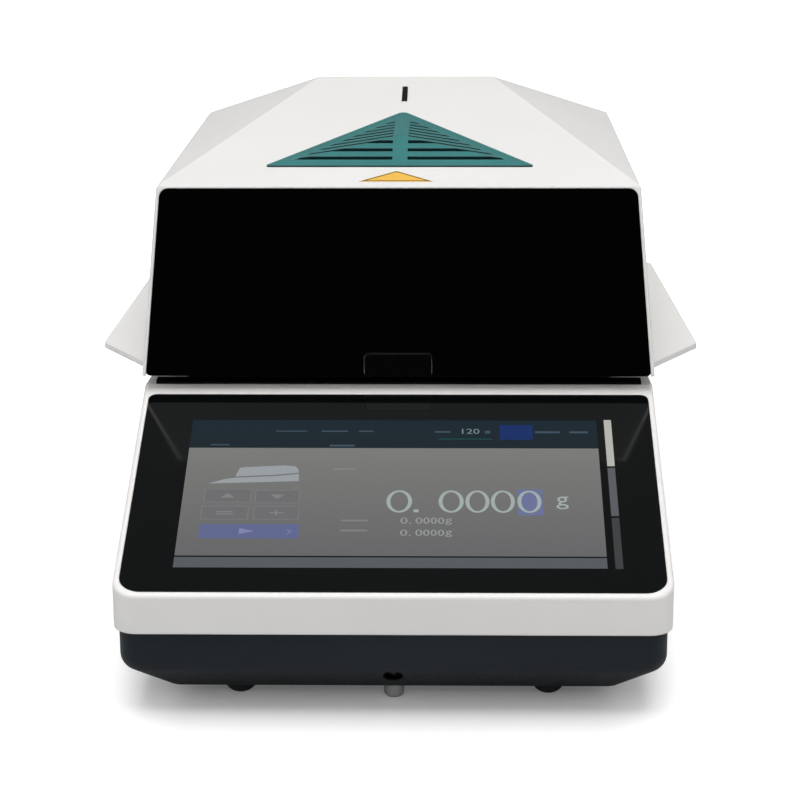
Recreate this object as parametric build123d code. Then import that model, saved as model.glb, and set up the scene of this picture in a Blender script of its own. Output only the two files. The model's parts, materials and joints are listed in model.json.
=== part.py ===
import os
from math import atan2, cos, pi, radians, sin, sqrt, tan

from build123d import *

# Halogen moisture analyser: a case with a sloping touch screen, and a motor-driven faceted lid
# that holds the ring lamp over a weighing pan.
# Millimetres. X runs to the right, Y to the back and Z up. The origin is on the table, under the
# middle of the case.

# Case
case_length = 370.0
case_side_rim = 2.5
case_wall = 2.8
case_corner = 9.0
rear_corner = 6.0
foot_height = 5.3
tray_inset = 1.7
tray_chamfer_rise = 13.7
tray_chamfer_run = 16.0
tray_corner = 8.0
tray_foot_corner = 5.0
tray_side_rise = 14.3
tray_wall = 3.0
tray_gap = 0.2
tray_lap = 3.7
tray_lap_wall = 2.0
tray_crease_round = 7.0
tray_foot_round = 4.0
lip_rise = 14.5
lip_round = 1.6

# Screen slope
screen_slope = 18.5
screen_run = 124.2
screen_wall = 4.0
glass_left_border = 12.95
glass_right_border = 15.15
glass_length = 115.3
glass_thickness = 1.7
glass_front_margin = 2.3
glass_front_corner = 8.0
glass_rear_corner = 3.0
glass_gap = 0.15
panel_width = 164.9
panel_length = 100.0
panel_thickness = 5.5
panel_shift_up = 8.2
panel_gap = 0.6
bracket_sheet = 1.2
bracket_border = 5.5
bracket_window_width = 120.0
bracket_window_length = 60.0
bracket_post_radius = 2.6
board_width = 120.0
board_length = 70.0
board_sheet = 1.6
board_standoff = 3.6
board_standoff_radius = 2.5

# Finger recess along each side, under the lid's wings
recess_inset = 15.0
recess_front_gap = 1.2
recess_low_setback = 115.0
recess_rear_setback = 99.0
recess_front_drop = 1.0
recess_low_drop = 18.5

# Lid
lid_gap = 5.1
lid_overhang = 5.2
lid_front_rise = 70.5
lid_lean = 15.4
lid_side_lap = 0.2
lid_side_taper = 5.7
lid_ridge_setback = 51.4
lid_ridge_half = 39.5
lid_ridge_rise = 6.8
lid_rear_edge_back = 6.0
lid_rear_edge_drop = 26.2
lid_belt_rise = 22.7
lid_wall = 2.6
lid_fold_round = 1.2
lid_rear_round = 4.0
lid_hem = 4.5
lid_glass_thickness = 3.0
lid_glass_side_rim = 1.5
lid_glass_top_rim = 0.8
lid_glass_corner = 3.5
lid_glass_foot_corner = 1.5
lid_glass_gap = 0.12
grip_width = 26.4
grip_height = 9.0
grip_corner = 2.0
grip_gap = 0.3

# Wings
wing_thickness = 2.1
wing_front_gap = 7.1
wing_tip_reach = 19.6
wing_tip_back = 36.9
wing_tip_corner = 3.0
wing_rear_reach = 10.6
wing_rear_setback = 98.0
wing_rear_corner = 5.0
wing_root_setback = 92.0

# Vent grille, measured on the lid's top plane from its front edge
grille_front = 28.6
grille_half_width = 53.5
grille_length = 89.3
grille_corner = 1.0
grille_tip_corner = 2.2
grille_margin = 3.0
grille_stand = 0.6
grille_peak_back = 27.9
grille_peak_rise = 5.8
grille_sheet = 1.2
grille_spine = 3.05
slot_count = 9
slot_width = 2.7
slot_lead = 4.8
slot_trail = 11.1
slot_margin = 3.8
grille_flange = 3.0
grille_flange_sheet = 1.4
grille_gap = 0.2

# Light slit and blank marker on the lid's top
slit_length = 28.0
slit_width = 2.0
slit_flange = 2.0
slit_sheet = 1.2
marker_front = 7.0
marker_half_width = 14.6
marker_length = 15.6
marker_shift_x = -1.0
marker_thickness = 0.6
marker_gap = 0.1

# Drying chamber
chamber_setback = 160.0
well_radius = 74.0
well_wall = 2.4
well_depth = 19.5
deck_sheet = 1.5
deck_side_rim = 16.0
deck_drop_side = 5.5
deck_drop_end = 5.3
deck_window_gap = 0.3
deck_front_rim = 6.7
deck_rear_rim = 4.0
deck_thickness = 3.5
well_hole_radius = 9.0
well_collar_rise = 3.0
well_collar_wall = 2.0
dish_gap = 0.8
dish_sheet = 0.8
dish_rise = 13.0
dish_hole_radius = 13.0
ring_radius = 63.0
ring_sheet = 1.0
ring_rise = 13.5
pan_radius = 49.0
pan_rise = 6.5
pan_sheet = 0.8
pan_rim = 2.5
pan_seat_rise = 8.0
carrier_arm_radius = 40.0
carrier_arm_width = 5.0
carrier_arm_thickness = 2.0
carrier_hub_radius = 8.0
stem_radius = 4.0
handler_inner_gap = 0.8
handler_band = 5.0
handler_sheet = 1.2
handler_tab_width = 22.0
handler_tab_length = 14.0
handler_pad_count = 3
handler_pad_width = 8.0

# Lamp and its housing in the lid
lining_sheet = 2.5
lining_rise = 1.2
lining_rear_setback = 30.0
lining_gap = 0.25
lining_window = 70.0
lining_collar_rise = 8.0
lining_collar_wall = 3.0
skirt_drop = 3.0
skirt_inset = 5.0
skirt_wall = 2.0
skirt_rear_gap = 9.0
cover_glass_thickness = 3.0
cover_glass_gap = 0.5
clamp_band = 6.0
clamp_sheet = 1.0
reflector_sheet = 1.0
reflector_rise = 27.0
reflector_top_radius = 44.0
lamp_radius = 48.0
lamp_tube = 5.5
lamp_rise = 18.0
lamp_opening = 36.0
holder_width = 12.0
holder_depth = 11.0
holder_stem = 4.0
probe_radius = 2.2
probe_length = 20.0
probe_nut_radius = 5.0
baffle_sheet = 1.2
baffle_rise = 12.0
baffle_post_x = 66.0
baffle_post_reach = 55.0
baffle_post_radius = 3.0

# Hinge and drive at the rear of the lid
hinge_setback = 17.0
hinge_rise = 27.3
hinge_pin_radius = 4.0
hinge_clearance = 0.05
bush_radius = 6.0
tower_radius = 9.0
tower_inner_x = 50.0
tower_outer_x = 74.0
tower_notch_gap = 1.2
tower_notch_rise = 5.5
arm_gap = 1.0
arm_thickness = 3.0
arm_reach = 60.0
arm_foot_length = 40.0
arm_foot_width = 16.0
arm_foot_sheet = 2.5
arm_eye_radius = 8.5
pin_stand = 2.0
motor_radius = 12.3
motor_length = 58.0
motor_plate_thickness = 4.0
drive_shaft_radius = 3.0
drive_shaft_stand = 14.0
drive_shaft_bite = 7.0
drive_arm_thickness = 6.0

# Load cell
cell_width = 30.0
cell_length = 118.0
cell_height = 22.0
cell_drop = 5.0
cell_hole_radius = 7.0
cell_hole_spread = 20.0
cell_front_reach = 12.0
cell_mount_length = 30.0
cell_mount_width = 44.0

# Feet
front_foot_x = 56.0
front_foot_back = 26.5
front_foot_radius = 6.0
front_foot_flat = 2.2
centre_foot_radius = 3.65
centre_foot_round = 1.5
centre_foot_back = 22.15
foot_stem = 2.45
centre_stem = 1.95
plug_depth = 10.5
leveller_x = 60.0
leveller_setback = 39.0
leveller_radius = 11.0
leveller_grip_count = 18
leveller_grip_radius = 1.2
leveller_sole_radius = 7.0
leveller_sole_rise = 1.4
leveller_stem_radius = 4.0
leveller_gap = 0.4
insert_radius = 6.0
insert_height = 9.0
front_hole_radius = 3.65
front_hole_rise = 8.9
front_hole_depth = 9.0

# Screw joints
screw_inset = 12.2
screw_front_back = 21.2
screw_rear_setback = 67.0
boss_radius = 4.8
boss_top = 40.0
screw_seat_z = 20.0
screw_radius = 1.5
screw_clearance = 0.05
screw_head_radius = 2.8
screw_head_height = 2.5
screw_bite = 8.0
lid_screw_inset = 13.2
lid_screw_front_back = 20.4
lid_screw_rear_setback = 59.0
lid_boss_height = 14.0
deck_screw_inset = 2.6
deck_screw_margin = 30.0
deck_screw_radius = 1.0
deck_screw_head_radius = 2.0
deck_screw_head_height = 1.2
bumper_inset = 8.0
bumper_front_back = 8.5
bumper_rear_setback = 83.0
bumper_radius = 3.0
bumper_edge = 0.8
soft_gap = 0.3
level_x = -30.0
level_setback = 57.0
level_radius = 9.0
level_vial_radius = 6.0
level_gap = 0.1
level_depth = 8.0
level_flange = 1.5
level_stand = 0.8
vial_stand = 0.3

# Rear connection panel
panel_z = 60.0
rear_panel_half_width = 64.0
rear_panel_half_height = 18.0
rear_panel_sheet = 2.0
rear_panel_flange = 3.0
inlet_x = -42.0
inlet_width = 27.6
inlet_height = 20.2
inlet_depth = 22.0
inlet_flange = 2.2
inlet_flange_sheet = 2.0
inlet_cavity_width = 24.6
inlet_cavity_height = 17.0
inlet_cavity_depth = 15.0
inlet_cavity_corner = 5.0
inlet_pin_width = 4.0
inlet_pin_thickness = 2.0
inlet_pin_pitch = 7.0
inlet_earth_rise = 2.5
switch_x = -8.0
switch_width = 13.0
switch_height = 19.2
switch_depth = 14.0
switch_bezel = 1.2
switch_wall = 1.6
rocker_swing = 16.0
rocker_pivot_depth = 2.8
rocker_gap = 0.3
rocker_pin_radius = 1.2
serial_x = 22.0
serial_width = 19.0
serial_height = 11.0
serial_flange = 6.0
serial_depth = 12.0
serial_stand = 2.4
serial_cavity_depth = 5.0
serial_wall = 1.0
serial_pin_radius = 0.5
serial_pin_pitch = 2.77
usb_x = 48.0
usb_width = 12.0
usb_height = 11.0
usb_depth = 16.0
usb_wall = 1.2
usb_cavity_depth = 9.0
usb_tongue_width = 5.6
usb_tongue_height = 3.2

# Electronics on the tray floor
main_board_back = 85.0
main_board_width = 130.0
main_board_length = 80.0
main_board_standoff = 6.0
supply_x = 45.0
supply_setback = 145.0
supply_width = 44.0
supply_length = 92.0
supply_height = 26.0

# Worked-out places
glass_width = panel_width + glass_left_border + glass_right_border
panel_shift_x = (glass_left_border - glass_right_border) / 2
case_width = glass_width + 2 * case_side_rim
half_length = case_length / 2
half_width = case_width / 2
front_y = -half_length
rear_y = half_length
tray_bottom = foot_height
tray_crease = tray_bottom + tray_chamfer_rise
split_z = tray_crease + tray_side_rise
tray_floor = tray_bottom + tray_wall
tray_half_width = half_width - tray_inset
tray_half_length = half_length - tray_inset
front_foot_y = front_y + front_foot_back
centre_foot_y = front_y + centre_foot_back
leveller_y = rear_y - leveller_setback
front_hole_z = tray_bottom + front_hole_rise
main_board_y = front_y + main_board_back
supply_y = rear_y - supply_setback
lip_top = split_z + lip_rise
slope = radians(screen_slope)
screen_rear_y = front_y + screen_run * cos(slope)
deck_z = lip_top + screen_run * sin(slope)
screen = Plane(
    origin=(0, front_y, lip_top), x_dir=(1, 0, 0), z_dir=(0, -sin(slope), cos(slope))
)
recess_front = screen_rear_y + recess_front_gap
recess_low_y = rear_y - recess_low_setback
recess_rear = rear_y - recess_rear_setback
lid_bottom = deck_z + lid_gap
lid_half_width = half_width + lid_side_lap
lid_front_y = screen_rear_y - lid_overhang
lid_ridge_y = rear_y - lid_ridge_setback
lean = radians(lid_lean)
lid_edge_y = lid_front_y + lid_front_rise * tan(lean)
lid_edge_z = lid_bottom + lid_front_rise
lid_ridge_z = lid_edge_z + lid_ridge_rise
lid_rear_edge_y = rear_y - lid_rear_edge_back
lid_rear_edge_z = lid_ridge_z - lid_rear_edge_drop
lid_belt_z = lid_bottom + lid_belt_rise
side_taper = lid_side_taper / lid_front_rise
top_slope = atan2(lid_ridge_z - lid_edge_z, lid_ridge_y - lid_edge_y)
lid_front = Plane(
    origin=(0, lid_front_y, lid_bottom), x_dir=(1, 0, 0), z_dir=(0, -cos(lean), sin(lean))
)
lid_top = Plane(
    origin=(0, lid_edge_y, lid_edge_z), x_dir=(1, 0, 0), z_dir=(0, -sin(top_slope), cos(top_slope))
)
deck_top = deck_z + deck_sheet
deck_half_width = half_width - deck_side_rim
deck_body_half_width = deck_half_width - deck_drop_side
deck_front = screen_rear_y + deck_front_rim
deck_rear = rear_y - deck_rear_rim
chamber_y = rear_y - chamber_setback
hinge_y = rear_y - hinge_setback
level_y = rear_y - level_setback
screw_x = half_width - screw_inset
screw_front_y = screen_rear_y + screw_front_back
screw_rear_y = rear_y - screw_rear_setback
lid_screw_x = lid_half_width - lid_screw_inset
lid_screw_front_y = lid_front_y + lid_screw_front_back
lid_screw_rear_y = rear_y - lid_screw_rear_setback
bumper_x = deck_half_width - bumper_inset
bumper_front_y = deck_front + bumper_front_back
bumper_rear_y = rear_y - bumper_rear_setback
lining_rear = rear_y - lining_rear_setback
skirt_rear = lining_rear - skirt_rear_gap
arm_front_y = hinge_y - arm_reach
hinge_z = deck_top + hinge_rise
lining_bottom = lid_bottom + lining_rise
lining_top = lining_bottom + lining_sheet
well_floor = deck_top - well_depth
dish_top = well_floor + dish_sheet
seat_z = dish_top + pan_seat_rise
pan_top = seat_z + pan_rise
cell_top = well_floor - well_wall - cell_drop
panel_y = rear_y - case_wall


def block(x0, x1, y0, y1, z0, z1):
    return Pos((x0 + x1) / 2, (y0 + y1) / 2, (z0 + z1) / 2) * Box(x1 - x0, y1 - y0, z1 - z0)


def disc(radius, z0, z1, x=0.0, y=0.0):
    return Pos(x, y, (z0 + z1) / 2) * Cylinder(radius, z1 - z0)


def tube(outer, inner, z0, z1, x=0.0, y=0.0):
    return disc(outer, z0, z1, x, y) - disc(inner, z0 - 1, z1 + 1, x, y)


def rod_x(radius, x0, x1, y, z):
    return Pos((x0 + x1) / 2, y, z) * Rot(0, 90, 0) * Cylinder(radius, x1 - x0)


def rod_y(radius, y0, y1, x, z):
    return Pos(x, (y0 + y1) / 2, z) * Rot(90, 0, 0) * Cylinder(radius, y1 - y0)


def carry(plane, outline, amount):
    # An outline on a plane, carried along the plane's normal
    return extrude(plane * outline, amount=amount, dir=plane.z_dir)


def side_prism(points, x0, x1):
    # A Y-Z outline carried along X
    return carry(Plane.YZ.offset(x0), Polygon(*points, align=None), x1 - x0)


def flat_prism(outline, z0, z1):
    # An X-Y outline carried up
    return carry(Plane.XY.offset(z0), outline, z1 - z0)


def soft_rectangle(width, length, radius):
    return RectangleRounded(width, length, radius)


def rounded_polygon(points, radii):
    outline = Polygon(*points, align=None)
    for point, radius in zip(points, radii):
        if radius > 0:
            corner = outline.vertices().sort_by_distance((point[0], point[1], 0))[0]
            outline = fillet(corner, radius)
    return outline


def nearest_edge(solid, point):
    return solid.edges().sort_by_distance(point)[0]


def save(shape, name):
    export_step(shape, "parts/" + name + ".step")


os.makedirs("parts", exist_ok=True)


# Base tray: an upright band over an all-round chamfer, with a thinner lap that goes up into the housing
def tray_form(inset):
    half_w = tray_half_width - inset
    half_l = tray_half_length - inset
    floor = tray_bottom + inset
    # The chamfer's wall is measured square to its slope, so the crease inside rises less than the floor
    slant = sqrt(tray_chamfer_rise**2 + tray_chamfer_run**2)
    crease = tray_crease + inset * (slant - tray_chamfer_rise) / tray_chamfer_run
    run = tray_chamfer_run * (crease - floor) / tray_chamfer_rise
    low_corner = max(tray_foot_corner - inset, 1.0)
    high = soft_rectangle(2 * half_w, 2 * half_l, tray_corner - inset)
    low = soft_rectangle(2 * (half_w - run), 2 * (half_l - run), low_corner)
    body = loft([(Plane.XY.offset(floor) * low).face(), (Plane.XY.offset(crease) * high).face()], ruled=True)
    return body + flat_prism(high, crease, split_z)


tray_outer = tray_form(0.0)
crease_edges = tray_outer.edges().filter_by(lambda e: abs(e.center().Z - tray_crease) < 0.1)
tray_outer = fillet(crease_edges, tray_crease_round)
tray_outer = fillet(tray_outer.edges().group_by(Axis.Z)[0], tray_foot_round)
tray_inner = tray_form(tray_wall)
lap_half_width = half_width - case_wall - tray_gap
lap_half_length = half_length - case_wall - tray_gap
lap_corner = case_corner - case_wall
lap_outline = soft_rectangle(2 * lap_half_width, 2 * lap_half_length, lap_corner)
lap_hollow = soft_rectangle(
    2 * (lap_half_width - tray_lap_wall), 2 * (lap_half_length - tray_lap_wall), lap_corner - tray_lap_wall
)
tray_top = split_z + tray_lap
base_tray = tray_outer - tray_inner
base_tray += flat_prism(lap_outline, split_z - tray_wall, tray_top)
base_tray -= flat_prism(lap_hollow, split_z - tray_wall - 1, tray_top + 1)
base_tray -= tray_inner
tray_room = tray_outer + flat_prism(lap_hollow, split_z - 1, boss_top)
screw_places = [
    (x, y) for x in (-screw_x, screw_x) for y in (screw_front_y, screw_rear_y)
]
for x, y in screw_places:
    base_tray += disc(boss_radius, tray_bottom, boss_top, x, y) & tray_room
    base_tray -= disc(screw_radius + 0.2, tray_bottom - 1, boss_top + 1, x, y)
    base_tray -= disc(screw_head_radius + 0.3, tray_bottom - 1, screw_seat_z, x, y)
for x in (-front_foot_x, front_foot_x):
    base_tray += disc(front_foot_radius + 1.5, tray_floor - 0.5, tray_floor + 2, x, front_foot_y)
    base_tray -= disc(foot_stem + screw_clearance, tray_bottom - 1, tray_floor + 3, x, front_foot_y)
base_tray -= disc(centre_stem + screw_clearance, tray_bottom - 1, tray_floor + 1, 0, centre_foot_y)
# Round hole in the front chamfer, with a wall round it inside
hole_back = front_y + tray_inset + tray_chamfer_run + front_hole_depth
base_tray += tray_outer & rod_y(front_hole_radius + 2, front_y, hole_back, 0, front_hole_z)
base_tray -= rod_y(front_hole_radius, front_y, hole_back + 1, 0, front_hole_z)
for x in (-leveller_x, leveller_x):
    base_tray += disc(insert_radius + 2.5, tray_floor - 0.5, tray_bottom + insert_height, x, leveller_y)
    base_tray -= disc(insert_radius, tray_bottom - 1, tray_bottom + insert_height + 1, x, leveller_y)
# Cooling slots through the floor, under the power supply
vent_count = 6
vent_pitch = 9.0
vent_width = 3.0
vent_length = 30.0
for i in range(vent_count):
    y = supply_y + (i - (vent_count - 1) / 2) * vent_pitch
    vent = SlotOverall(vent_length, vent_width)
    base_tray -= Pos(supply_x, y, 0) * flat_prism(vent, tray_bottom - 1, tray_floor + 1)
save(base_tray, "base_tray")


# Upper housing: sloping screen face in front, flat deck with side finger recesses behind
def housing_profile(inset, floor, top_wall, screen_inset):
    y0 = front_y + inset
    y1 = rear_y - inset
    lift = lip_top - screen_inset / cos(slope)
    front_z = lift + inset * tan(slope)
    top = deck_z - top_wall
    bend_y = front_y + (top - lift) / tan(slope)
    return [(y0, floor), (y0, front_z), (bend_y, top), (y1, top), (y1, floor)]


def recess_cut(side, grow):
    inner = half_width - recess_inset - grow
    outer = half_width + 5
    points = [
        (recess_front - grow, deck_z + 5),
        (recess_front - grow, deck_z - recess_front_drop - grow),
        (recess_low_y + grow * 0.3, deck_z - recess_low_drop - grow),
        (recess_rear + grow, deck_z - grow * 0.3),
        (recess_rear + grow, deck_z + 5),
    ]
    x0, x1 = (inner, outer) if side > 0 else (-outer, -inner)
    return side_prism(points, x0, x1)


housing = side_prism(housing_profile(0, split_z, 0, 0), -half_width, half_width)
housing = fillet(
    [nearest_edge(housing, (s * half_width, front_y, split_z + 5)) for s in (-1, 1)], case_corner
)
housing = fillet(
    [nearest_edge(housing, (s * half_width, rear_y, split_z + 20)) for s in (-1, 1)], rear_corner
)
rim_edges = housing.edges().filter_by(
    lambda e: e.center().Z > lip_top - 0.5 and abs((e.center() - screen.origin).dot(screen.z_dir)) < 0.3
)
housing = fillet(rim_edges, lip_round)
cavity = side_prism(
    housing_profile(case_wall, split_z - 5, case_wall, screen_wall),
    -half_width + case_wall,
    half_width - case_wall,
)
cavity = fillet(
    [
        nearest_edge(cavity, (s * (half_width - case_wall), front_y + case_wall, split_z))
        for s in (-1, 1)
    ],
    case_corner - case_wall,
)
cavity = fillet(
    [
        nearest_edge(cavity, (s * (half_width - case_wall), rear_y - case_wall, split_z))
        for s in (-1, 1)
    ],
    rear_corner - case_wall,
)
for side in (-1, 1):
    housing -= recess_cut(side, 0)
    cavity -= recess_cut(side, case_wall)
upper_housing = housing - cavity
glass_centre = glass_front_margin + glass_length / 2


def glass_outline(grow):
    half = glass_width / 2 + grow
    length = glass_length / 2 + grow
    points = [(-half, -length), (half, -length), (half, length), (-half, length)]
    radii = [glass_front_corner, glass_front_corner, glass_rear_corner, glass_rear_corner]
    return Pos(0, glass_centre) * rounded_polygon(points, [r + grow for r in radii])


def on_screen(outline, depth0, depth1):
    # An outline on the sloping face, between two depths below it
    return carry(screen.offset(-depth1), outline, depth1 - depth0)


panel_centre_up = panel_shift_up + panel_length / 2
panel_outline = Pos(panel_shift_x, panel_centre_up) * Rectangle(panel_width, panel_length)
panel_hole = Pos(panel_shift_x, panel_centre_up) * Rectangle(
    panel_width + 2 * panel_gap, panel_length + 2 * panel_gap
)
upper_housing -= on_screen(glass_outline(glass_gap), -2, glass_thickness)
upper_housing -= on_screen(panel_hole, -2, screen_wall + 2)
upper_housing -= block(
    -deck_body_half_width - deck_window_gap,
    deck_body_half_width + deck_window_gap,
    deck_front + deck_drop_end - deck_window_gap,
    deck_rear - deck_drop_end + deck_window_gap,
    deck_z - case_wall - 1,
    deck_z + 1,
)
upper_housing -= block(
    -rear_panel_half_width,
    rear_panel_half_width,
    rear_y - case_wall - 1,
    rear_y + 1,
    panel_z - rear_panel_half_height,
    panel_z + rear_panel_half_height,
)
for x, y in screw_places:
    post = disc(boss_radius, boss_top, deck_z - 1, x, y)
    upper_housing += post & housing
    upper_housing -= disc(screw_radius + screw_clearance, boss_top - 1, boss_top + screw_bite, x, y)
deck_screw_x = deck_half_width - deck_screw_inset
deck_screw_rows = [
    deck_front + deck_screw_margin,
    (deck_front + deck_rear) / 2,
    deck_rear - deck_screw_margin,
]
deck_screw_places = [(side * deck_screw_x, y) for side in (-1, 1) for y in deck_screw_rows]
for x, y in deck_screw_places:
    upper_housing -= disc(deck_screw_radius + screw_clearance, deck_z - case_wall - 1, deck_z + 1, x, y)
save(upper_housing, "upper_housing")

touch_glass = on_screen(glass_outline(0), 0, glass_thickness)
save(touch_glass, "touch_glass")

display_panel = on_screen(panel_outline, glass_thickness, glass_thickness + panel_thickness)
save(display_panel, "display_panel")

bracket_depth = glass_thickness + panel_thickness
bracket_outline = Pos(panel_shift_x, panel_centre_up) * (
    Rectangle(panel_width + 2 * bracket_border, panel_length + 2 * bracket_border)
    - Rectangle(bracket_window_width, bracket_window_length)
)
display_bracket = on_screen(bracket_outline, bracket_depth, bracket_depth + bracket_sheet)
for x in (-1, 1):
    for v in (-0.36, 0.36):
        spot = Pos(
            panel_shift_x + x * (panel_width / 2 + bracket_border - bracket_post_radius),
            panel_centre_up + v * panel_length,
        )
        post = spot * Circle(bracket_post_radius - 0.2)
        display_bracket += on_screen(post, screen_wall, bracket_depth + 0.1)
board_depth = bracket_depth + bracket_sheet + board_standoff
standoff_u = board_width / 2 + 4
standoff_v = board_length / 2 - 6
for x in (-1, 1):
    for v in (-1, 1):
        spot = Pos(panel_shift_x + x * (standoff_u + 2), panel_centre_up + v * (standoff_v))
        foot = spot * Circle(board_standoff_radius)
        display_bracket += on_screen(foot, bracket_depth + bracket_sheet - 0.1, board_depth)
save(display_bracket, "display_bracket")

board_outline = Pos(panel_shift_x, panel_centre_up) * Rectangle(board_width + 20, board_length)
display_board = on_screen(board_outline, board_depth, board_depth + board_sheet)
chips = [(-35, 15, 14, 14, 1.6), (10, 12, 20, 16, 1.4), (45, -14, 10, 24, 5.0), (-20, -20, 30, 7, 4.0)]
for u, v, w, l, h in chips:
    chip = Pos(panel_shift_x + u, panel_centre_up + v) * Rectangle(w, l)
    display_board += on_screen(chip, board_depth + board_sheet - 0.1, board_depth + board_sheet + h)
save(display_board, "display_board")

# Deck under the lid, with the round well and the two hinge towers
deck_flange = flat_prism(
    Pos(0, (deck_front + deck_rear) / 2)
    * soft_rectangle(2 * deck_half_width, deck_rear - deck_front, 4.0),
    deck_z,
    deck_top,
)
deck_body = block(
    -deck_body_half_width,
    deck_body_half_width,
    deck_front + deck_drop_end,
    deck_rear - deck_drop_end,
    deck_top - deck_thickness,
    deck_z,
)
chamber_deck = deck_flange + deck_body
chamber_deck += disc(well_radius + well_wall, well_floor - well_wall, deck_z, 0, chamber_y)
chamber_deck -= disc(well_radius, well_floor, deck_top + 1, 0, chamber_y)
collar_radius = well_hole_radius + well_collar_wall
chamber_deck += disc(collar_radius, well_floor - 0.5, dish_top + well_collar_rise, 0, chamber_y)
chamber_deck -= disc(well_hole_radius, well_floor - 5, deck_top + 1, 0, chamber_y)
for side in (-1, 1):
    x0, x1 = sorted((side * tower_inner_x, side * tower_outer_x))
    tower = block(
        x0, x1, hinge_y - tower_radius, hinge_y + tower_radius, deck_z + 0.1, hinge_z
    ) + rod_x(tower_radius, x0, x1, hinge_y, hinge_z)
    chamber_deck += tower
    chamber_deck -= rod_x(bush_radius, x0 - 1, x1 + 1, hinge_y, hinge_z)
chamber_deck -= disc(
    level_radius + level_gap, deck_top - deck_thickness - 1, deck_top + 1, level_x, level_y
)
for x, y in deck_screw_places:
    chamber_deck -= disc(deck_screw_radius + 0.2, deck_z - 1, deck_top + 1, x, y)
save(chamber_deck, "chamber_deck")

bushes = []
for side in (-1, 1):
    x0, x1 = sorted((side * tower_inner_x, side * tower_outer_x))
    bushes.append(
        rod_x(bush_radius, x0, x1, hinge_y, hinge_z)
        - rod_x(hinge_pin_radius + hinge_clearance, x0 - 1, x1 + 1, hinge_y, hinge_z)
    )
save(Compound(children=bushes), "hinge_bushes")

# Steel dish and ring in the well, and the weighing parts above them
dish_radius = well_radius - dish_gap
heat_dish = disc(dish_radius, well_floor, well_floor + dish_rise, 0, chamber_y)
heat_dish -= disc(dish_radius - dish_sheet, dish_top, well_floor + dish_rise + 1, 0, chamber_y)
heat_dish -= disc(dish_hole_radius, well_floor - 1, dish_top + 1, 0, chamber_y)
save(heat_dish, "heat_dish")

draft_ring = tube(ring_radius, ring_radius - ring_sheet, dish_top, dish_top + ring_rise, 0, chamber_y)
notch_half = handler_tab_width / 2 + 1.5
draft_ring -= block(
    -notch_half,
    notch_half,
    chamber_y - ring_radius - 2,
    chamber_y - ring_radius + 10,
    dish_top + ring_rise - 5.5,
    dish_top + ring_rise + 1,
)
save(draft_ring, "draft_ring")

arm_top = seat_z
pan_carrier = disc(carrier_hub_radius, arm_top - carrier_arm_thickness, arm_top, 0, chamber_y)
arm_count = 3
for i in range(arm_count):
    turn = Pos(0, chamber_y, 0) * Rot(0, 0, 90 + 360 * i / arm_count)
    pan_carrier += turn * block(
        0,
        carrier_arm_radius,
        -carrier_arm_width / 2,
        carrier_arm_width / 2,
        arm_top - carrier_arm_thickness,
        arm_top,
    )
pan_carrier += disc(stem_radius, cell_top, arm_top - 0.1, 0, chamber_y)
save(pan_carrier, "pan_carrier")

pan = disc(pan_radius, seat_z, pan_top, 0, chamber_y)
pan += disc(pan_radius + pan_rim, pan_top - pan_sheet, pan_top, 0, chamber_y)
pan -= disc(pan_radius - pan_sheet, seat_z + pan_sheet, pan_top + 1, 0, chamber_y)
save(pan, "sample_pan")

# Handling ring that lifts the pan by its rim, and rests on the draft ring
ring_top = dish_top + ring_rise
handler_inner = pan_radius + handler_inner_gap
handler = tube(handler_inner + handler_band, handler_inner, ring_top - 4.5, ring_top - 3.3, 0, chamber_y)
for i in range(handler_pad_count):
    turn = Pos(0, chamber_y, 0) * Rot(0, 0, 90 + 360 * i / handler_pad_count)
    handler += turn * block(
        handler_inner + handler_band - 1,
        ring_radius + 1.5,
        -handler_pad_width / 2,
        handler_pad_width / 2,
        ring_top,
        ring_top + handler_sheet,
    )
    handler += turn * block(
        handler_inner + handler_band - 1,
        handler_inner + handler_band + 0.2,
        -handler_pad_width / 2,
        handler_pad_width / 2,
        ring_top - 4.5,
        ring_top + handler_sheet,
    )
handler += block(
    -handler_tab_width / 2,
    handler_tab_width / 2,
    chamber_y - ring_radius - handler_tab_length + 6,
    chamber_y - handler_inner - handler_band + 1,
    ring_top - 4.5,
    ring_top - 3.3,
)
save(handler, "pan_handler")

# Load cell on its mount
cell_front = chamber_y - cell_front_reach
cell_rear = cell_front + cell_length
cell_bottom = cell_top - cell_height
load_cell = block(-cell_width / 2, cell_width / 2, cell_front, cell_rear, cell_bottom, cell_top)
cell_mid_y = (cell_front + cell_rear) / 2
cell_mid_z = (cell_top + cell_bottom) / 2
for step in (-1, 1):
    load_cell -= rod_x(
        cell_hole_radius, -cell_width, cell_width, cell_mid_y + step * cell_hole_spread, cell_mid_z
    )
load_cell -= block(
    -cell_width,
    cell_width,
    cell_mid_y - cell_hole_spread,
    cell_mid_y + cell_hole_spread,
    cell_mid_z - 2,
    cell_mid_z + 2,
)
save(load_cell, "load_cell")

cell_mount = block(
    -cell_mount_width / 2,
    cell_mount_width / 2,
    cell_rear - cell_mount_length,
    cell_rear,
    tray_floor,
    cell_bottom,
)
save(cell_mount, "load_cell_mount")

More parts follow.
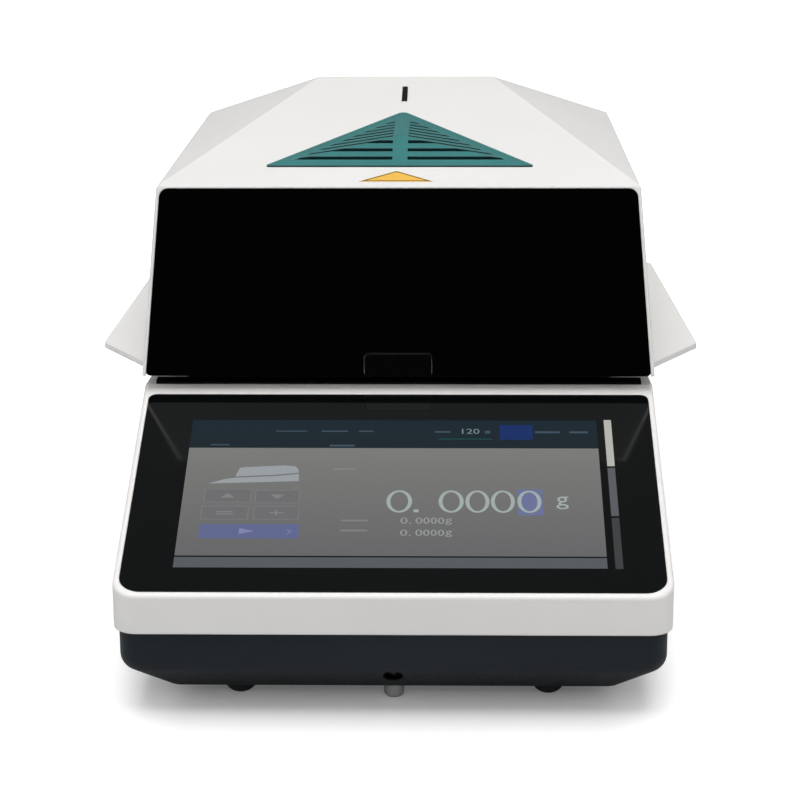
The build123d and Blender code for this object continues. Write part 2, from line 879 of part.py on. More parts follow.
# Electronics
main_board = block(
    -main_board_width / 2,
    main_board_width / 2,
    main_board_y - main_board_length / 2,
    main_board_y + main_board_length / 2,
    tray_floor + main_board_standoff,
    tray_floor + main_board_standoff + board_sheet,
)
main_board_top = tray_floor + main_board_standoff + board_sheet
for sx in (-1, 1):
    for sy in (-1, 1):
        main_board += disc(
            3.0,
            tray_floor,
            tray_floor + main_board_standoff + 0.1,
            sx * (main_board_width / 2 - 5),
            main_board_y + sy * (main_board_length / 2 - 5),
        )
parts_on_board = [
    (-40, 10, 16, 16, 1.6),
    (0, 15, 20, 20, 2.0),
    (40, 20, 12, 10, 6.0),
    (45, -20, 24, 8, 7.0),
    (-45, -22, 20, 8, 7.0),
    (5, -18, 10, 10, 9.0),
]
for x, y, w, l, h in parts_on_board:
    main_board += block(
        x - w / 2,
        x + w / 2,
        main_board_y + y - l / 2,
        main_board_y + y + l / 2,
        main_board_top - 0.1,
        main_board_top + h,
    )
save(main_board, "main_board")

supply_floor = tray_floor + 3
supply = block(
    supply_x - supply_width / 2,
    supply_x + supply_width / 2,
    supply_y - supply_length / 2,
    supply_y + supply_length / 2,
    supply_floor,
    supply_floor + board_sheet,
)
supply_base = supply_floor + board_sheet - 0.1
# Transformer, filter coil and terminal strip as x, y, width, length, height, and one tall capacitor
supply_parts = [
    (-2, 5, 32, 30, supply_height),
    (12, -30, 12, 24, 18),
    (0, 37, 36, 10, 12),
]
for x, y, width, length, height in supply_parts:
    supply += block(
        supply_x + x - width / 2,
        supply_x + x + width / 2,
        supply_y + y - length / 2,
        supply_y + y + length / 2,
        supply_base,
        supply_floor + height,
    )
supply += disc(8, supply_base, supply_floor + supply_height - 2, supply_x - 8, supply_y - 30)
for sx in (-1, 1):
    for sy in (-1, 1):
        supply += disc(
            2.5,
            tray_floor,
            supply_floor + 0.1,
            supply_x + sx * (supply_width / 2 - 4),
            supply_y + sy * (supply_length / 2 - 4),
        )
save(supply, "power_supply")


# Lid shell: a convex form cut by its facet planes
def half_space(origin, normal, inset):
    plane = Plane(origin=origin, z_dir=normal).offset(-inset)
    reach = 2.5 * case_length
    return plane * (Pos(0, 0, reach / 2) * Box(reach, reach, reach))


def lid_half_at(z):
    return lid_half_width - side_taper * (z - lid_bottom)


def lid_form(front_inset, wall, bottom):
    body = block(-case_width, case_width, front_y, rear_y - wall, bottom, lid_ridge_z + lid_front_rise)
    body -= half_space(lid_front.origin, lid_front.z_dir, front_inset)
    body -= half_space(lid_top.origin, lid_top.z_dir, wall)
    ridge_rear = Vector(0, lid_ridge_y, lid_ridge_z)
    body -= half_space(
        ridge_rear, (0, lid_rear_edge_drop, lid_rear_edge_y - lid_ridge_y), wall
    )
    body -= half_space(
        (0, rear_y, lid_belt_z), (0, lid_rear_edge_z - lid_belt_z, lid_rear_edge_back), wall
    )
    for side in (-1, 1):
        body -= half_space((side * lid_half_width, 0, lid_bottom), (side, 0, side_taper), wall)
        front_corner = Vector(side * lid_half_at(lid_edge_z), lid_edge_y, lid_edge_z)
        ridge_end = Vector(side * lid_ridge_half, lid_ridge_y, lid_ridge_z)
        rear_corner_point = Vector(side * lid_half_at(lid_rear_edge_z), lid_rear_edge_y, lid_rear_edge_z)
        normal = (ridge_end - front_corner).cross(rear_corner_point - front_corner)
        if normal.Z < 0:
            normal = normal * -1
        body -= half_space(front_corner, normal, wall)
    return body


lid_outer = lid_form(0, 0, lid_bottom)
for side in (-1, 1):
    lid_outer = fillet(
        nearest_edge(lid_outer, (side * lid_half_width, rear_y, lid_bottom + 10)), lid_rear_round
    )
for side in (-1, 1):
    fold = nearest_edge(
        lid_outer,
        (
            side * (lid_half_at(lid_edge_z) + lid_half_at(lid_rear_edge_z)) / 2,
            (lid_edge_y + lid_rear_edge_y) / 2,
            (lid_edge_z + lid_rear_edge_z) / 2,
        ),
    )
    lid_outer = fillet(fold, lid_fold_round)
lid_outer -= half_space((0, rear_y, lid_bottom + lid_hem), (0, 1, -1), 0)
glass_slant = lid_front_rise / cos(lean)
front_inset = lid_glass_thickness + lid_wall
lid_inner = lid_form(front_inset, lid_wall, lid_bottom - 5)
lid_shell = lid_outer - lid_inner
for side in (-1, 1):
    root = lid_half_width - lid_wall + 0.2
    wing = rounded_polygon(
        [
            (side * root, lid_front_y + wing_front_gap),
            (side * (lid_half_width + wing_tip_reach), lid_front_y + wing_tip_back),
            (side * (lid_half_width + wing_rear_reach), rear_y - wing_rear_setback),
            (side * root, rear_y - wing_root_setback),
        ],
        [0, wing_tip_corner, wing_rear_corner, 0],
    )
    lid_shell += flat_prism(wing, lid_bottom, lid_bottom + wing_thickness)


def glass_half(v):
    # Half width of the front glass at a height up its slope
    return lid_half_at(lid_bottom + v * cos(lean)) - lid_glass_side_rim


lid_glass_top = glass_slant - lid_glass_top_rim


def lid_glass_outline(grow):
    low = -grow * 20
    high = lid_glass_top + grow
    points = [
        (-glass_half(low) - grow, low),
        (glass_half(low) + grow, low),
        (glass_half(high) + grow, high),
        (-glass_half(high) - grow, high),
    ]
    foot = lid_glass_foot_corner if grow == 0 else 0
    return rounded_polygon(points, [foot, foot, lid_glass_corner + grow, lid_glass_corner + grow])


def grip_outline(gap):
    half = grip_width / 2 - gap
    points = [(-half, -1.0), (half, -1.0), (half, grip_height - gap), (-half, grip_height - gap)]
    return rounded_polygon(points, [0, 0, grip_corner, grip_corner])


def on_lid_front(outline, depth0, depth1):
    return carry(lid_front.offset(-depth1), outline, depth1 - depth0)


lid_shell -= on_lid_front(lid_glass_outline(lid_glass_gap), -2, lid_glass_thickness)
lid_glass = on_lid_front(lid_glass_outline(0) - grip_outline(0), 0, lid_glass_thickness)
save(lid_glass, "lid_glass")
grip_tab = on_lid_front(grip_outline(grip_gap), 0, lid_glass_thickness)
grip_tab -= block(-50, 50, lid_front_y - 20, lid_front_y + 20, lid_bottom - 10, lid_bottom)
save(grip_tab, "grip_tab")


def on_lid_top(outline, height0, height1):
    return carry(lid_top.offset(height0), outline, height1 - height0)


# Vent grille: a flat triangular margin round a low three-sided pyramid with louvre slots
def triangle(half, front, length, corner=0.0, tip=0.0):
    return rounded_polygon([(-half, front), (half, front), (0, front + length)], [corner, corner, tip])


grille_outline = triangle(
    grille_half_width, grille_front, grille_length, grille_corner, grille_tip_corner
)
grille_back = grille_front + grille_length
half_tip = atan2(grille_half_width, grille_length)
inner_back = grille_back - grille_margin / sin(half_tip)
inner_front = grille_front + grille_margin
inner_half = (inner_back - inner_front) * tan(half_tip)
peak_v = grille_front + grille_peak_back


def pyramid(drop):
    # Three facets from the inner triangle up to the peak, lowered by a drop
    base = [
        Vector(-inner_half, inner_front, 0),
        Vector(inner_half, inner_front, 0),
        Vector(0, inner_back, 0),
    ]
    peak = Vector(0, peak_v, grille_peak_rise - grille_stand)
    faces = [Face(Wire.make_polygon([base[i], base[(i + 1) % 3], peak])) for i in range(3)]
    faces.append(Face(Wire.make_polygon(base)))
    solid = Solid(Shell(faces))
    return lid_top.offset(grille_stand - drop) * solid


vent_grille = on_lid_top(grille_outline, -lid_wall, grille_stand) + pyramid(0)
flange_outline = offset(grille_outline, amount=grille_flange, kind=Kind.ARC)
vent_grille += on_lid_top(flange_outline, -lid_wall - grille_flange_sheet, -lid_wall)
inner_outline = triangle(inner_half, inner_front, inner_back - inner_front)
vent_grille -= on_lid_top(inner_outline, -lid_wall - grille_flange_sheet - 1, grille_stand - grille_sheet)
vent_grille -= pyramid(grille_sheet)

# Straight slots across all three facets, left whole along a spine in the middle
slot_back = inner_back - slot_margin / sin(half_tip)
slot_half = (slot_back - inner_front) * tan(half_tip)
slot_zone = triangle(slot_half, inner_front, slot_back - inner_front)
slot_zone -= Pos(0, slot_back) * Rectangle(2 * grille_spine, 3 * grille_length)
slot_pitch = (slot_back - slot_trail - inner_front - slot_lead) / (slot_count - 1)
slots = [
    Pos(0, inner_front + slot_lead + i * slot_pitch) * Rectangle(3 * slot_half, slot_width) & slot_zone
    for i in range(slot_count)
]
grille_depth0 = -lid_wall - grille_flange_sheet - 1
for slot in slots:
    vent_grille -= on_lid_top(slot, grille_depth0, grille_peak_rise + 2)
save(vent_grille, "vent_grille")

lid_shell -= on_lid_top(offset(grille_outline, amount=grille_gap, kind=Kind.ARC), -lid_wall - 2, 8)

ridge_v = (lid_ridge_y - lid_edge_y) / cos(top_slope)
slit_v = (grille_back + ridge_v) / 2
slit_outline = Pos(0, slit_v) * Rectangle(slit_width, slit_length)
slit_hole = Pos(0, slit_v) * Rectangle(slit_width + 2 * grille_gap, slit_length + 2 * grille_gap)
slit_base = Pos(0, slit_v) * Rectangle(slit_width + 2 * slit_flange, slit_length)
lid_shell -= on_lid_top(slit_hole, -lid_wall - 2, 8)
slit_window = on_lid_top(slit_outline, -lid_wall - slit_sheet, 0) + on_lid_top(
    slit_base, -lid_wall - slit_sheet, -lid_wall
)
save(slit_window, "slit_window")


def marker_outline(grow):
    return Pos(marker_shift_x, 0) * offset(
        triangle(marker_half_width, marker_front, marker_length), amount=grow, kind=Kind.ARC
    )


lid_shell -= on_lid_top(marker_outline(marker_gap), -marker_thickness, 2)
marker_plate = on_lid_top(
    Pos(marker_shift_x, 0) * triangle(marker_half_width, marker_front, marker_length, 0.8, 0.8),
    -marker_thickness,
    0,
)
save(marker_plate, "marker_plate")

# Bosses inside the lid for the lining's screws, and openings for the hinge towers
lid_screw_places = [
    (side * lid_screw_x, y) for side in (-1, 1) for y in (lid_screw_front_y, lid_screw_rear_y)
]
lid_boss_top = lining_top + lid_boss_height
for x, y in lid_screw_places:
    x0, x1 = sorted((x, x + (10 if x > 0 else -10)))
    boss = disc(boss_radius, lining_top, lid_boss_top, x, y)
    boss += block(x0, x1, y - 1.5, y + 1.5, lining_top, lid_boss_top)
    lid_shell += boss & lid_form(front_inset - 1, lid_wall - 1, lid_bottom)
    lid_shell -= disc(screw_radius + screw_clearance, lining_top - 1, lining_top + screw_bite, x, y)
for side in (-1, 1):
    x0, x1 = sorted((side * (tower_inner_x - tower_notch_gap), side * (tower_outer_x + tower_notch_gap)))
    lid_shell -= block(x0, x1, hinge_y, rear_y + 5, lid_bottom - 1, hinge_z + tower_notch_rise)
save(lid_shell, "lid_shell")

# Lining under the lid, with the lamp window and a skirt that darkens the gap
lining_half = lid_half_at(lining_top) - lid_wall - lining_gap
lining_front = (
    lid_front_y + (lining_top - lid_bottom) * tan(lean) + front_inset / cos(lean) + lining_gap
)
lid_lining = block(-lining_half, lining_half, lining_front, lining_rear, lining_bottom, lining_top)
skirt_half = lid_half_width - skirt_inset
skirt_front = lining_front + 0.4
skirt_outer = block(
    -skirt_half, skirt_half, skirt_front, skirt_rear, lining_bottom - skirt_drop, lining_bottom
)
skirt_inner = block(
    -skirt_half + skirt_wall,
    skirt_half - skirt_wall,
    skirt_front + skirt_wall,
    skirt_rear - skirt_wall,
    lining_bottom - skirt_drop - 1,
    lining_bottom,
)
lid_lining += skirt_outer - skirt_inner
collar_outer = lining_window + clamp_band
lid_lining += tube(
    collar_outer + lining_collar_wall,
    collar_outer,
    lining_top - 0.1,
    lining_top + lining_collar_rise,
    0,
    chamber_y,
)
lid_lining -= disc(lining_window, lining_bottom - 1, lining_top + 1, 0, chamber_y)
for x, y in lid_screw_places:
    lid_lining -= disc(screw_radius + 0.2, lining_bottom - 1, lining_top + 1, x, y)
save(lid_lining, "lid_lining")

cover_glass_radius = collar_outer - cover_glass_gap
cover_glass = disc(
    cover_glass_radius, lining_top, lining_top + cover_glass_thickness, 0, chamber_y
)
save(cover_glass, "cover_glass")
clamp_bottom = lining_top + cover_glass_thickness
glass_clamp = tube(
    cover_glass_radius, lining_window + 1, clamp_bottom, clamp_bottom + clamp_sheet, 0, chamber_y
)
save(glass_clamp, "glass_clamp")

# Reflector: a spun steel bowl on the lining's collar
reflector_base = lining_top + lining_collar_rise
reflector_top = reflector_base + reflector_rise
rim_outer = collar_outer + lining_collar_wall
bowl = [
    (0, reflector_top),
    (reflector_top_radius, reflector_top),
    (collar_outer, reflector_base + reflector_sheet),
    (rim_outer, reflector_base + reflector_sheet),
    (rim_outer, reflector_base),
    (collar_outer - reflector_sheet, reflector_base),
    (reflector_top_radius - 0.4 * reflector_sheet, reflector_top - reflector_sheet),
    (0, reflector_top - reflector_sheet),
]
bowl_face = Plane.XZ * Polygon(*bowl, align=None)
reflector = Pos(0, chamber_y, 0) * revolve(bowl_face, axis=Axis.Z)
reflector -= disc(probe_radius + 0.1, reflector_top - 5, reflector_top + 1, 0, chamber_y)
save(reflector, "reflector")

# Ring lamp: an open loop of tube between two ceramic holders, which hang from the reflector's top
lamp_z = reflector_top - lamp_rise
lamp_arc = 360 - lamp_opening
loop_path = CenterArc((0, 0), lamp_radius, 90 + lamp_opening / 2, lamp_arc)
loop_start = Plane(origin=loop_path @ 0, z_dir=loop_path % 0)
halogen_ring = sweep(loop_start * Circle(lamp_tube), path=loop_path)
halogen_ring = Pos(0, chamber_y, lamp_z) * halogen_ring
save(halogen_ring, "halogen_ring")
holders = []
for side in (-1, 1):
    turn = Pos(0, chamber_y, 0) * Rot(0, 0, side * lamp_opening / 2)
    x0, x1 = sorted((0, side * holder_width))
    holder = turn * block(
        x0,
        x1,
        lamp_radius - holder_depth / 2,
        lamp_radius + holder_depth / 2,
        lamp_z - lamp_tube - 1,
        lamp_z + lamp_tube + 1,
    )
    stem_y = reflector_top_radius - 4
    holder += turn * block(
        x0 + 3, x1 - 3, stem_y - holder_stem, stem_y, lamp_z, reflector_top - reflector_sheet
    )
    holder += turn * block(
        x0 + 3, x1 - 3, stem_y - holder_stem, lamp_radius, lamp_z, lamp_z + lamp_tube
    )
    holders.append(holder)
save(Compound(children=holders), "lamp_holders")

probe = disc(probe_radius, reflector_top - probe_length, reflector_top, 0, chamber_y)
probe += disc(probe_nut_radius, reflector_top, reflector_top + 4, 0, chamber_y)
save(probe, "temperature_probe")

# Heat baffle over the reflector, on four posts from the lining
baffle_bottom = reflector_top + baffle_rise
baffle_half = baffle_post_x + baffle_post_radius + 2
baffle_front = chamber_y - baffle_post_reach - baffle_post_radius - 2
baffle_rear = chamber_y + baffle_post_reach + baffle_post_radius + 2
heat_baffle = block(
    -baffle_half, baffle_half, baffle_front, baffle_rear, baffle_bottom, baffle_bottom + baffle_sheet
)
heat_baffle = fillet(heat_baffle.edges().filter_by(Axis.Z), 6)
for x in (-baffle_post_x, baffle_post_x):
    for y in (chamber_y - baffle_post_reach, chamber_y + baffle_post_reach):
        heat_baffle += disc(baffle_post_radius, lining_top, baffle_bottom + 0.1, x, y)
save(heat_baffle, "heat_baffle")

# Hinge arms on the lining, with pins that turn in the towers' bushes
arm_x = tower_outer_x + arm_gap


def arm_plate(x0, x1, eye_radius, foot_y0, foot_y1):
    # Eye round the hinge axis, narrowing to a foot on the lining
    plate = side_prism(
        [
            (foot_y0, lining_top),
            (foot_y1, lining_top),
            (hinge_y + eye_radius * 0.5, hinge_z - eye_radius * 0.86),
            (hinge_y - eye_radius * 0.5, hinge_z + eye_radius * 0.86),
            (foot_y0, lining_top + arm_foot_sheet + 3),
        ],
        x0,
        x1,
    )
    return plate + rod_x(eye_radius, x0, x1, hinge_y, hinge_z)


arms = []
pins = []
for side in (-1, 1):
    x0, x1 = sorted((side * arm_x, side * (arm_x + arm_thickness)))
    arm = arm_plate(x0, x1, arm_eye_radius, arm_front_y, arm_front_y + arm_foot_length)
    foot0, foot1 = sorted((side * arm_x, side * (arm_x - arm_foot_width)))
    arm += block(
        foot0, foot1, arm_front_y, arm_front_y + arm_foot_length, lining_top, lining_top + arm_foot_sheet
    )
    arm -= rod_x(hinge_pin_radius, x0 - 1, x1 + 1, hinge_y, hinge_z)
    arms.append(arm)
    pin0, pin1 = sorted((side * (tower_inner_x - pin_stand), side * (arm_x + arm_thickness)))
    pin = rod_x(hinge_pin_radius, pin0, pin1, hinge_y, hinge_z)
    head0, head1 = sorted(
        (side * (arm_x + arm_thickness), side * (arm_x + arm_thickness + pin_stand))
    )
    pin += rod_x(hinge_pin_radius + 1.5, head0, head1, hinge_y, hinge_z)
    pins.append(pin)
save(Compound(children=arms), "lid_arms")
save(Compound(children=pins), "hinge_pins")

# Gear motor on the hinge axis, held by the left tower, and the arm that it turns
motor_left = -tower_inner_x + motor_plate_thickness
motor_right = motor_left + motor_length
pin_room = hinge_pin_radius + 1.0
motor_plate = rod_x(motor_radius + 0.5, -tower_inner_x, motor_left, hinge_y, hinge_z)
motor_plate -= rod_x(pin_room, -tower_inner_x - 1, motor_left + 1, hinge_y, hinge_z)
save(motor_plate, "motor_plate")
motor = rod_x(motor_radius, motor_left, motor_right, hinge_y, hinge_z)
motor = chamfer(motor.edges().filter_by(GeomType.CIRCLE), 0.8)
motor_seam = rod_x(motor_radius + 1, -1.0, 1.0, hinge_y, hinge_z)
motor_seam -= rod_x(motor_radius - 0.8, -2.0, 2.0, hinge_y, hinge_z)
motor -= Pos(motor_left + motor_length * 0.6, 0, 0) * motor_seam
motor -= rod_x(
    drive_shaft_radius + hinge_clearance, motor_right - drive_shaft_bite, motor_right + 1, hinge_y, hinge_z
)
save(motor, "lid_motor")
shaft_end = motor_right + drive_shaft_stand
drive_shaft = rod_x(drive_shaft_radius, motor_right - drive_shaft_bite + 0.5, shaft_end, hinge_y, hinge_z)
save(drive_shaft, "drive_shaft")
drive_x0 = shaft_end - drive_arm_thickness
drive_arm = arm_plate(drive_x0, shaft_end, tower_radius, arm_front_y + 8, arm_front_y + arm_foot_length)
drive_arm += block(
    drive_x0 - arm_foot_width / 2,
    shaft_end + arm_foot_width / 2,
    arm_front_y + 8,
    arm_front_y + arm_foot_length,
    lining_top,
    lining_top + arm_foot_sheet,
)
drive_arm -= rod_x(drive_shaft_radius, drive_x0 - 1, shaft_end + 1, hinge_y, hinge_z)
save(drive_arm, "drive_arm")


# Screws, bumpers and the bubble level
def screw(x, y, seat, tip, radius, head_radius, head_height):
    # Shank up from its seat, head below
    return disc(radius, seat, tip, x, y) + disc(head_radius, seat - head_height, seat, x, y)


case_screws = [
    screw(x, y, screw_seat_z, boss_top + screw_bite - 1, screw_radius, screw_head_radius, screw_head_height)
    for x, y in screw_places
]
save(Compound(children=case_screws), "case_screws")
lid_screws = [
    screw(x, y, lining_bottom, lining_top + screw_bite - 1, screw_radius, screw_head_radius, 1.8)
    for x, y in lid_screw_places
]
save(Compound(children=lid_screws), "lid_screws")
deck_screws = [
    disc(deck_screw_radius, deck_z - case_wall, deck_top, x, y)
    + disc(deck_screw_head_radius, deck_top, deck_top + deck_screw_head_height, x, y)
    for x, y in deck_screw_places
]
save(Compound(children=deck_screws), "deck_screws")
bumpers = [
    disc(bumper_radius, deck_top, lining_bottom - soft_gap, x, y)
    for x in (-bumper_x, bumper_x)
    for y in (bumper_front_y, bumper_rear_y)
]
bumpers = [chamfer(b.edges().group_by(Axis.Z)[-1], bumper_edge) for b in bumpers]
save(Compound(children=bumpers), "lid_bumpers")

level_body = disc(level_radius, deck_top - level_depth, deck_top, level_x, level_y)
level_body += disc(level_radius + level_flange, deck_top, deck_top + level_stand, level_x, level_y)
vial_bottom = deck_top - level_depth + 2
level_body -= disc(level_vial_radius, vial_bottom, deck_top + 5, level_x, level_y)
save(level_body, "level_body")
level_vial = disc(level_vial_radius, vial_bottom, deck_top + level_stand + vial_stand, level_x, level_y)
save(level_vial, "level_vial")


# Feet
def round_foot(x, y, radius, flat, stem):
    # A dome under the tray with a stem pressed up through its floor
    rise = tray_bottom
    mid = (flat + (radius - flat) * 0.78, rise * 0.36)
    profile = Polyline((0, rise), (0, 0), (flat, 0))
    profile += ThreePointArc((flat, 0), mid, (radius, rise))
    profile += Line((radius, rise), (0, rise))
    dome = revolve(Plane.XZ * make_face(profile), axis=Axis.Z)
    return Pos(x, y, 0) * dome + disc(stem, rise, tray_floor + 2, x, y)


front_feet = [
    round_foot(x, front_foot_y, front_foot_radius, front_foot_flat, foot_stem)
    for x in (-front_foot_x, front_foot_x)
]
save(Compound(children=front_feet), "front_feet")
centre_foot = disc(centre_foot_radius, 0, tray_bottom, 0, centre_foot_y)
centre_foot = fillet(centre_foot.edges().group_by(Axis.Z)[0], centre_foot_round)
centre_foot += disc(centre_stem, tray_bottom, tray_floor, 0, centre_foot_y)
save(centre_foot, "centre_foot")

plug_front = front_y + tray_inset + plug_depth
front_plug = rod_y(front_hole_radius - 0.1, plug_front, hole_back, 0, front_hole_z)
front_plug = fillet(front_plug.edges().group_by(Axis.Y)[0], front_hole_radius - 0.6)
front_plug += rod_y(front_hole_radius + 1.4, hole_back, hole_back + 1.5, 0, front_hole_z)
save(front_plug, "front_plug")

insert_top = tray_bottom + insert_height
inserts = [
    tube(insert_radius, leveller_stem_radius + hinge_clearance, tray_bottom, insert_top, x, leveller_y)
    for x in (-leveller_x, leveller_x)
]
save(Compound(children=inserts), "foot_inserts")


def leveller(x):
    # Grooved knob with a flat sole below and a stem in its insert above
    knob = disc(leveller_radius, leveller_sole_rise, tray_bottom - leveller_gap, x, leveller_y)
    for i in range(leveller_grip_count):
        angle = 2 * pi * i / leveller_grip_count
        knob -= disc(
            leveller_grip_radius,
            0,
            tray_bottom,
            x + leveller_radius * cos(angle),
            leveller_y + leveller_radius * sin(angle),
        )
    knob += disc(leveller_sole_radius, 0, leveller_sole_rise, x, leveller_y)
    stem = disc(leveller_stem_radius, tray_bottom - leveller_gap, insert_top + 1.5, x, leveller_y)
    return knob + stem


save(leveller(-leveller_x), "leveller_left")
save(leveller(leveller_x), "leveller_right")

# Rear connection panel, screwed against the inside of the housing's rear wall
plate_back = panel_y - rear_panel_sheet
rear_panel = block(
    -rear_panel_half_width - rear_panel_flange,
    rear_panel_half_width + rear_panel_flange,
    plate_back,
    panel_y,
    panel_z - rear_panel_half_height - rear_panel_flange,
    panel_z + rear_panel_half_height + rear_panel_flange,
)


def socket_block(x, width, height, y0, y1, corner=0.0):
    shape = block(x - width / 2, x + width / 2, y0, y1, panel_z - height / 2, panel_z + height / 2)
    if corner > 0:
        shape = fillet(shape.edges().filter_by(Axis.Y), corner)
    return shape


for x, width, height in (
    (inlet_x, inlet_width, inlet_height),
    (switch_x, switch_width, switch_height),
    (serial_x, serial_width, serial_height),
    (usb_x, usb_width, usb_height),
):
    rear_panel -= socket_block(x, width + 0.2, height + 0.2, plate_back - 1, panel_y + 1)
save(rear_panel, "rear_panel")

inlet_face = panel_y + inlet_flange_sheet
power_inlet = socket_block(inlet_x, inlet_width, inlet_height, panel_y - inlet_depth, panel_y + 0.1)
power_inlet += socket_block(
    inlet_x, inlet_width + 2 * inlet_flange, inlet_height + 2 * inlet_flange, panel_y, inlet_face, 2.0
)
inlet_floor = inlet_face - inlet_cavity_depth
cavity_box = socket_block(inlet_x, inlet_cavity_width, inlet_cavity_height, inlet_floor, inlet_face + 1)
cavity_tops = cavity_box.edges().filter_by(Axis.Y).group_by(Axis.Z)[-1]
power_inlet -= chamfer(cavity_tops, inlet_cavity_corner)
inlet_pins = []
for step in (-1, 0, 1):
    pin_x = inlet_x + step * inlet_pin_pitch
    pin_z = panel_z + (inlet_earth_rise if step == 0 else -inlet_earth_rise / 2)
    inlet_pins.append(
        block(
            pin_x - inlet_pin_thickness / 2,
            pin_x + inlet_pin_thickness / 2,
            inlet_floor,
            inlet_face - 3,
            pin_z - inlet_pin_width / 2,
            pin_z + inlet_pin_width / 2,
        )
    )
save(power_inlet, "power_inlet")
save(Compound(children=inlet_pins), "inlet_pins")

switch_face = panel_y + switch_bezel
switch_frame = socket_block(switch_x, switch_width, switch_height, panel_y - switch_depth, panel_y + 0.1)
switch_frame += socket_block(
    switch_x, switch_width + 2 * switch_bezel, switch_height + 2 * switch_bezel, panel_y, switch_face, 0.8
)
switch_frame -= socket_block(
    switch_x,
    switch_width - 2 * switch_wall,
    switch_height - 2 * switch_wall,
    panel_y - switch_depth + switch_wall,
    switch_face + 1,
)
pivot_y = panel_y - rocker_pivot_depth
switch_frame -= rod_x(
    rocker_pin_radius + hinge_clearance,
    switch_x - switch_width / 2 + 0.4,
    switch_x + switch_width / 2 - 0.4,
    pivot_y,
    panel_z,
)
save(switch_frame, "switch_frame")
rocker_half = switch_width / 2 - switch_wall - rocker_gap
rocker_reach = switch_height / 2 - switch_wall - rocker_gap * 3
rocker = side_prism(
    [
        (-3.5, -rocker_reach * 0.6),
        (1.0, -rocker_reach),
        (4.2, -rocker_reach),
        (2.9, 0),
        (4.2, rocker_reach),
        (1.0, rocker_reach),
        (-3.5, rocker_reach * 0.6),
    ],
    -rocker_half,
    rocker_half,
)
rocker += rod_x(rocker_pin_radius, -rocker_half - 1.2, rocker_half + 1.2, 0, 0)
rocker = Pos(switch_x, pivot_y, panel_z) * Rot(rocker_swing / 2, 0, 0) * rocker
save(rocker, "power_rocker")

serial_face = panel_y + serial_stand
serial_port = socket_block(serial_x, serial_width, serial_height, panel_y - serial_depth, panel_y + 0.1)
serial_port += socket_block(
    serial_x, serial_width + 2 * serial_flange, serial_height + 2, panel_y, panel_y + serial_wall, 1.0
)


def d_outline(grow):
    half = serial_width / 2 - 1.2 + grow
    rise = serial_height / 2 - 1.4 + grow
    points = [(half, rise), (-half, rise), (-half + 1.4, -rise), (half - 1.4, -rise)]
    return rounded_polygon(points, [1.6 + grow] * 4)


def facing_back(outline, x, y0, y1):
    # An outline seen from behind the case, carried along Y
    view = Plane(origin=(x, y0, panel_z), x_dir=(-1, 0, 0), z_dir=(0, 1, 0))
    return carry(view, outline, y1 - y0)


serial_floor = serial_face - serial_cavity_depth
serial_port += facing_back(d_outline(0), serial_x, panel_y, serial_face)
serial_port -= facing_back(d_outline(-serial_wall), serial_x, serial_floor, serial_face + 1)
for row, count in ((1, 5), (-1, 4)):
    for i in range(count):
        x = serial_x + (i - (count - 1) / 2) * serial_pin_pitch
        z = panel_z + row * serial_pin_pitch / 2
        serial_port += rod_y(serial_pin_radius, serial_floor - 0.1, serial_face - 1, x, z)
save(serial_port, "serial_port")

usb_face = panel_y + serial_stand
usb_port = socket_block(usb_x, usb_width, usb_height, panel_y - usb_depth, usb_face, 0.6)
usb_floor = usb_face - usb_cavity_depth
usb_cavity = socket_block(
    usb_x, usb_width - 2 * usb_wall, usb_height - 2 * usb_wall, usb_floor, usb_face + 1
)
usb_tops = usb_cavity.edges().filter_by(Axis.Y).group_by(Axis.Z)[-1]
usb_port -= chamfer(usb_tops, 1.8)
usb_port += block(
    usb_x - usb_tongue_width / 2,
    usb_x + usb_tongue_width / 2,
    usb_floor - 0.1,
    usb_face - 1.5,
    panel_z - usb_tongue_height / 2,
    panel_z + usb_tongue_height / 2,
)
save(usb_port, "usb_port")
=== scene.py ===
# Moisture analyser: finishes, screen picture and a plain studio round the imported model
import json
import math

import bpy
import numpy as np
from mathutils import Matrix, Vector


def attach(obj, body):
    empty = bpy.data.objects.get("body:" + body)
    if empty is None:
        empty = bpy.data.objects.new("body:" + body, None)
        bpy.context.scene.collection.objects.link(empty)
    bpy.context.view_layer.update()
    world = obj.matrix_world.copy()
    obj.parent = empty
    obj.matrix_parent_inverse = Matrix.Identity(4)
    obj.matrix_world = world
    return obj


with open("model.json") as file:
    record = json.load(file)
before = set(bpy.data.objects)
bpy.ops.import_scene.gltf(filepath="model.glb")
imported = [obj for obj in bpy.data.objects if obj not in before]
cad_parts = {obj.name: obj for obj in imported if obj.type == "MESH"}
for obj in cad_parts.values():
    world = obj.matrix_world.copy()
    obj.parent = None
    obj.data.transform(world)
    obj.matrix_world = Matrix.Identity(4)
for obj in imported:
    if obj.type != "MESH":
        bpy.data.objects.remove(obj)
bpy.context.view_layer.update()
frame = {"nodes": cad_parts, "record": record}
mm = 0.001
print("model loaded:", len(frame["nodes"]), "nodes")


# Meshes worked out as whole arrays

def gridMesh(name, points, closedAcross=False):
    # points is rows x columns x 3; each cell of the grid becomes one four-sided face,
    # which looks towards (along the row) x (towards the next row)
    rows, columns = points.shape[:2]
    index = np.arange(rows * columns).reshape(rows, columns)
    if closedAcross:
        index = np.concatenate([index, index[:, :1]], axis=1)
    faces = np.stack([index[:-1, :-1], index[:-1, 1:], index[1:, 1:], index[1:, :-1]], axis=-1)
    mesh = bpy.data.meshes.new(name)
    mesh.from_pydata(points.reshape(-1, 3).tolist(), [], faces.reshape(-1, 4).tolist())
    mesh.update()
    return mesh


def meshPoints(mesh):
    flat = np.empty(len(mesh.vertices) * 3)
    mesh.vertices.foreach_get("co", flat)
    return flat.reshape(-1, 3)


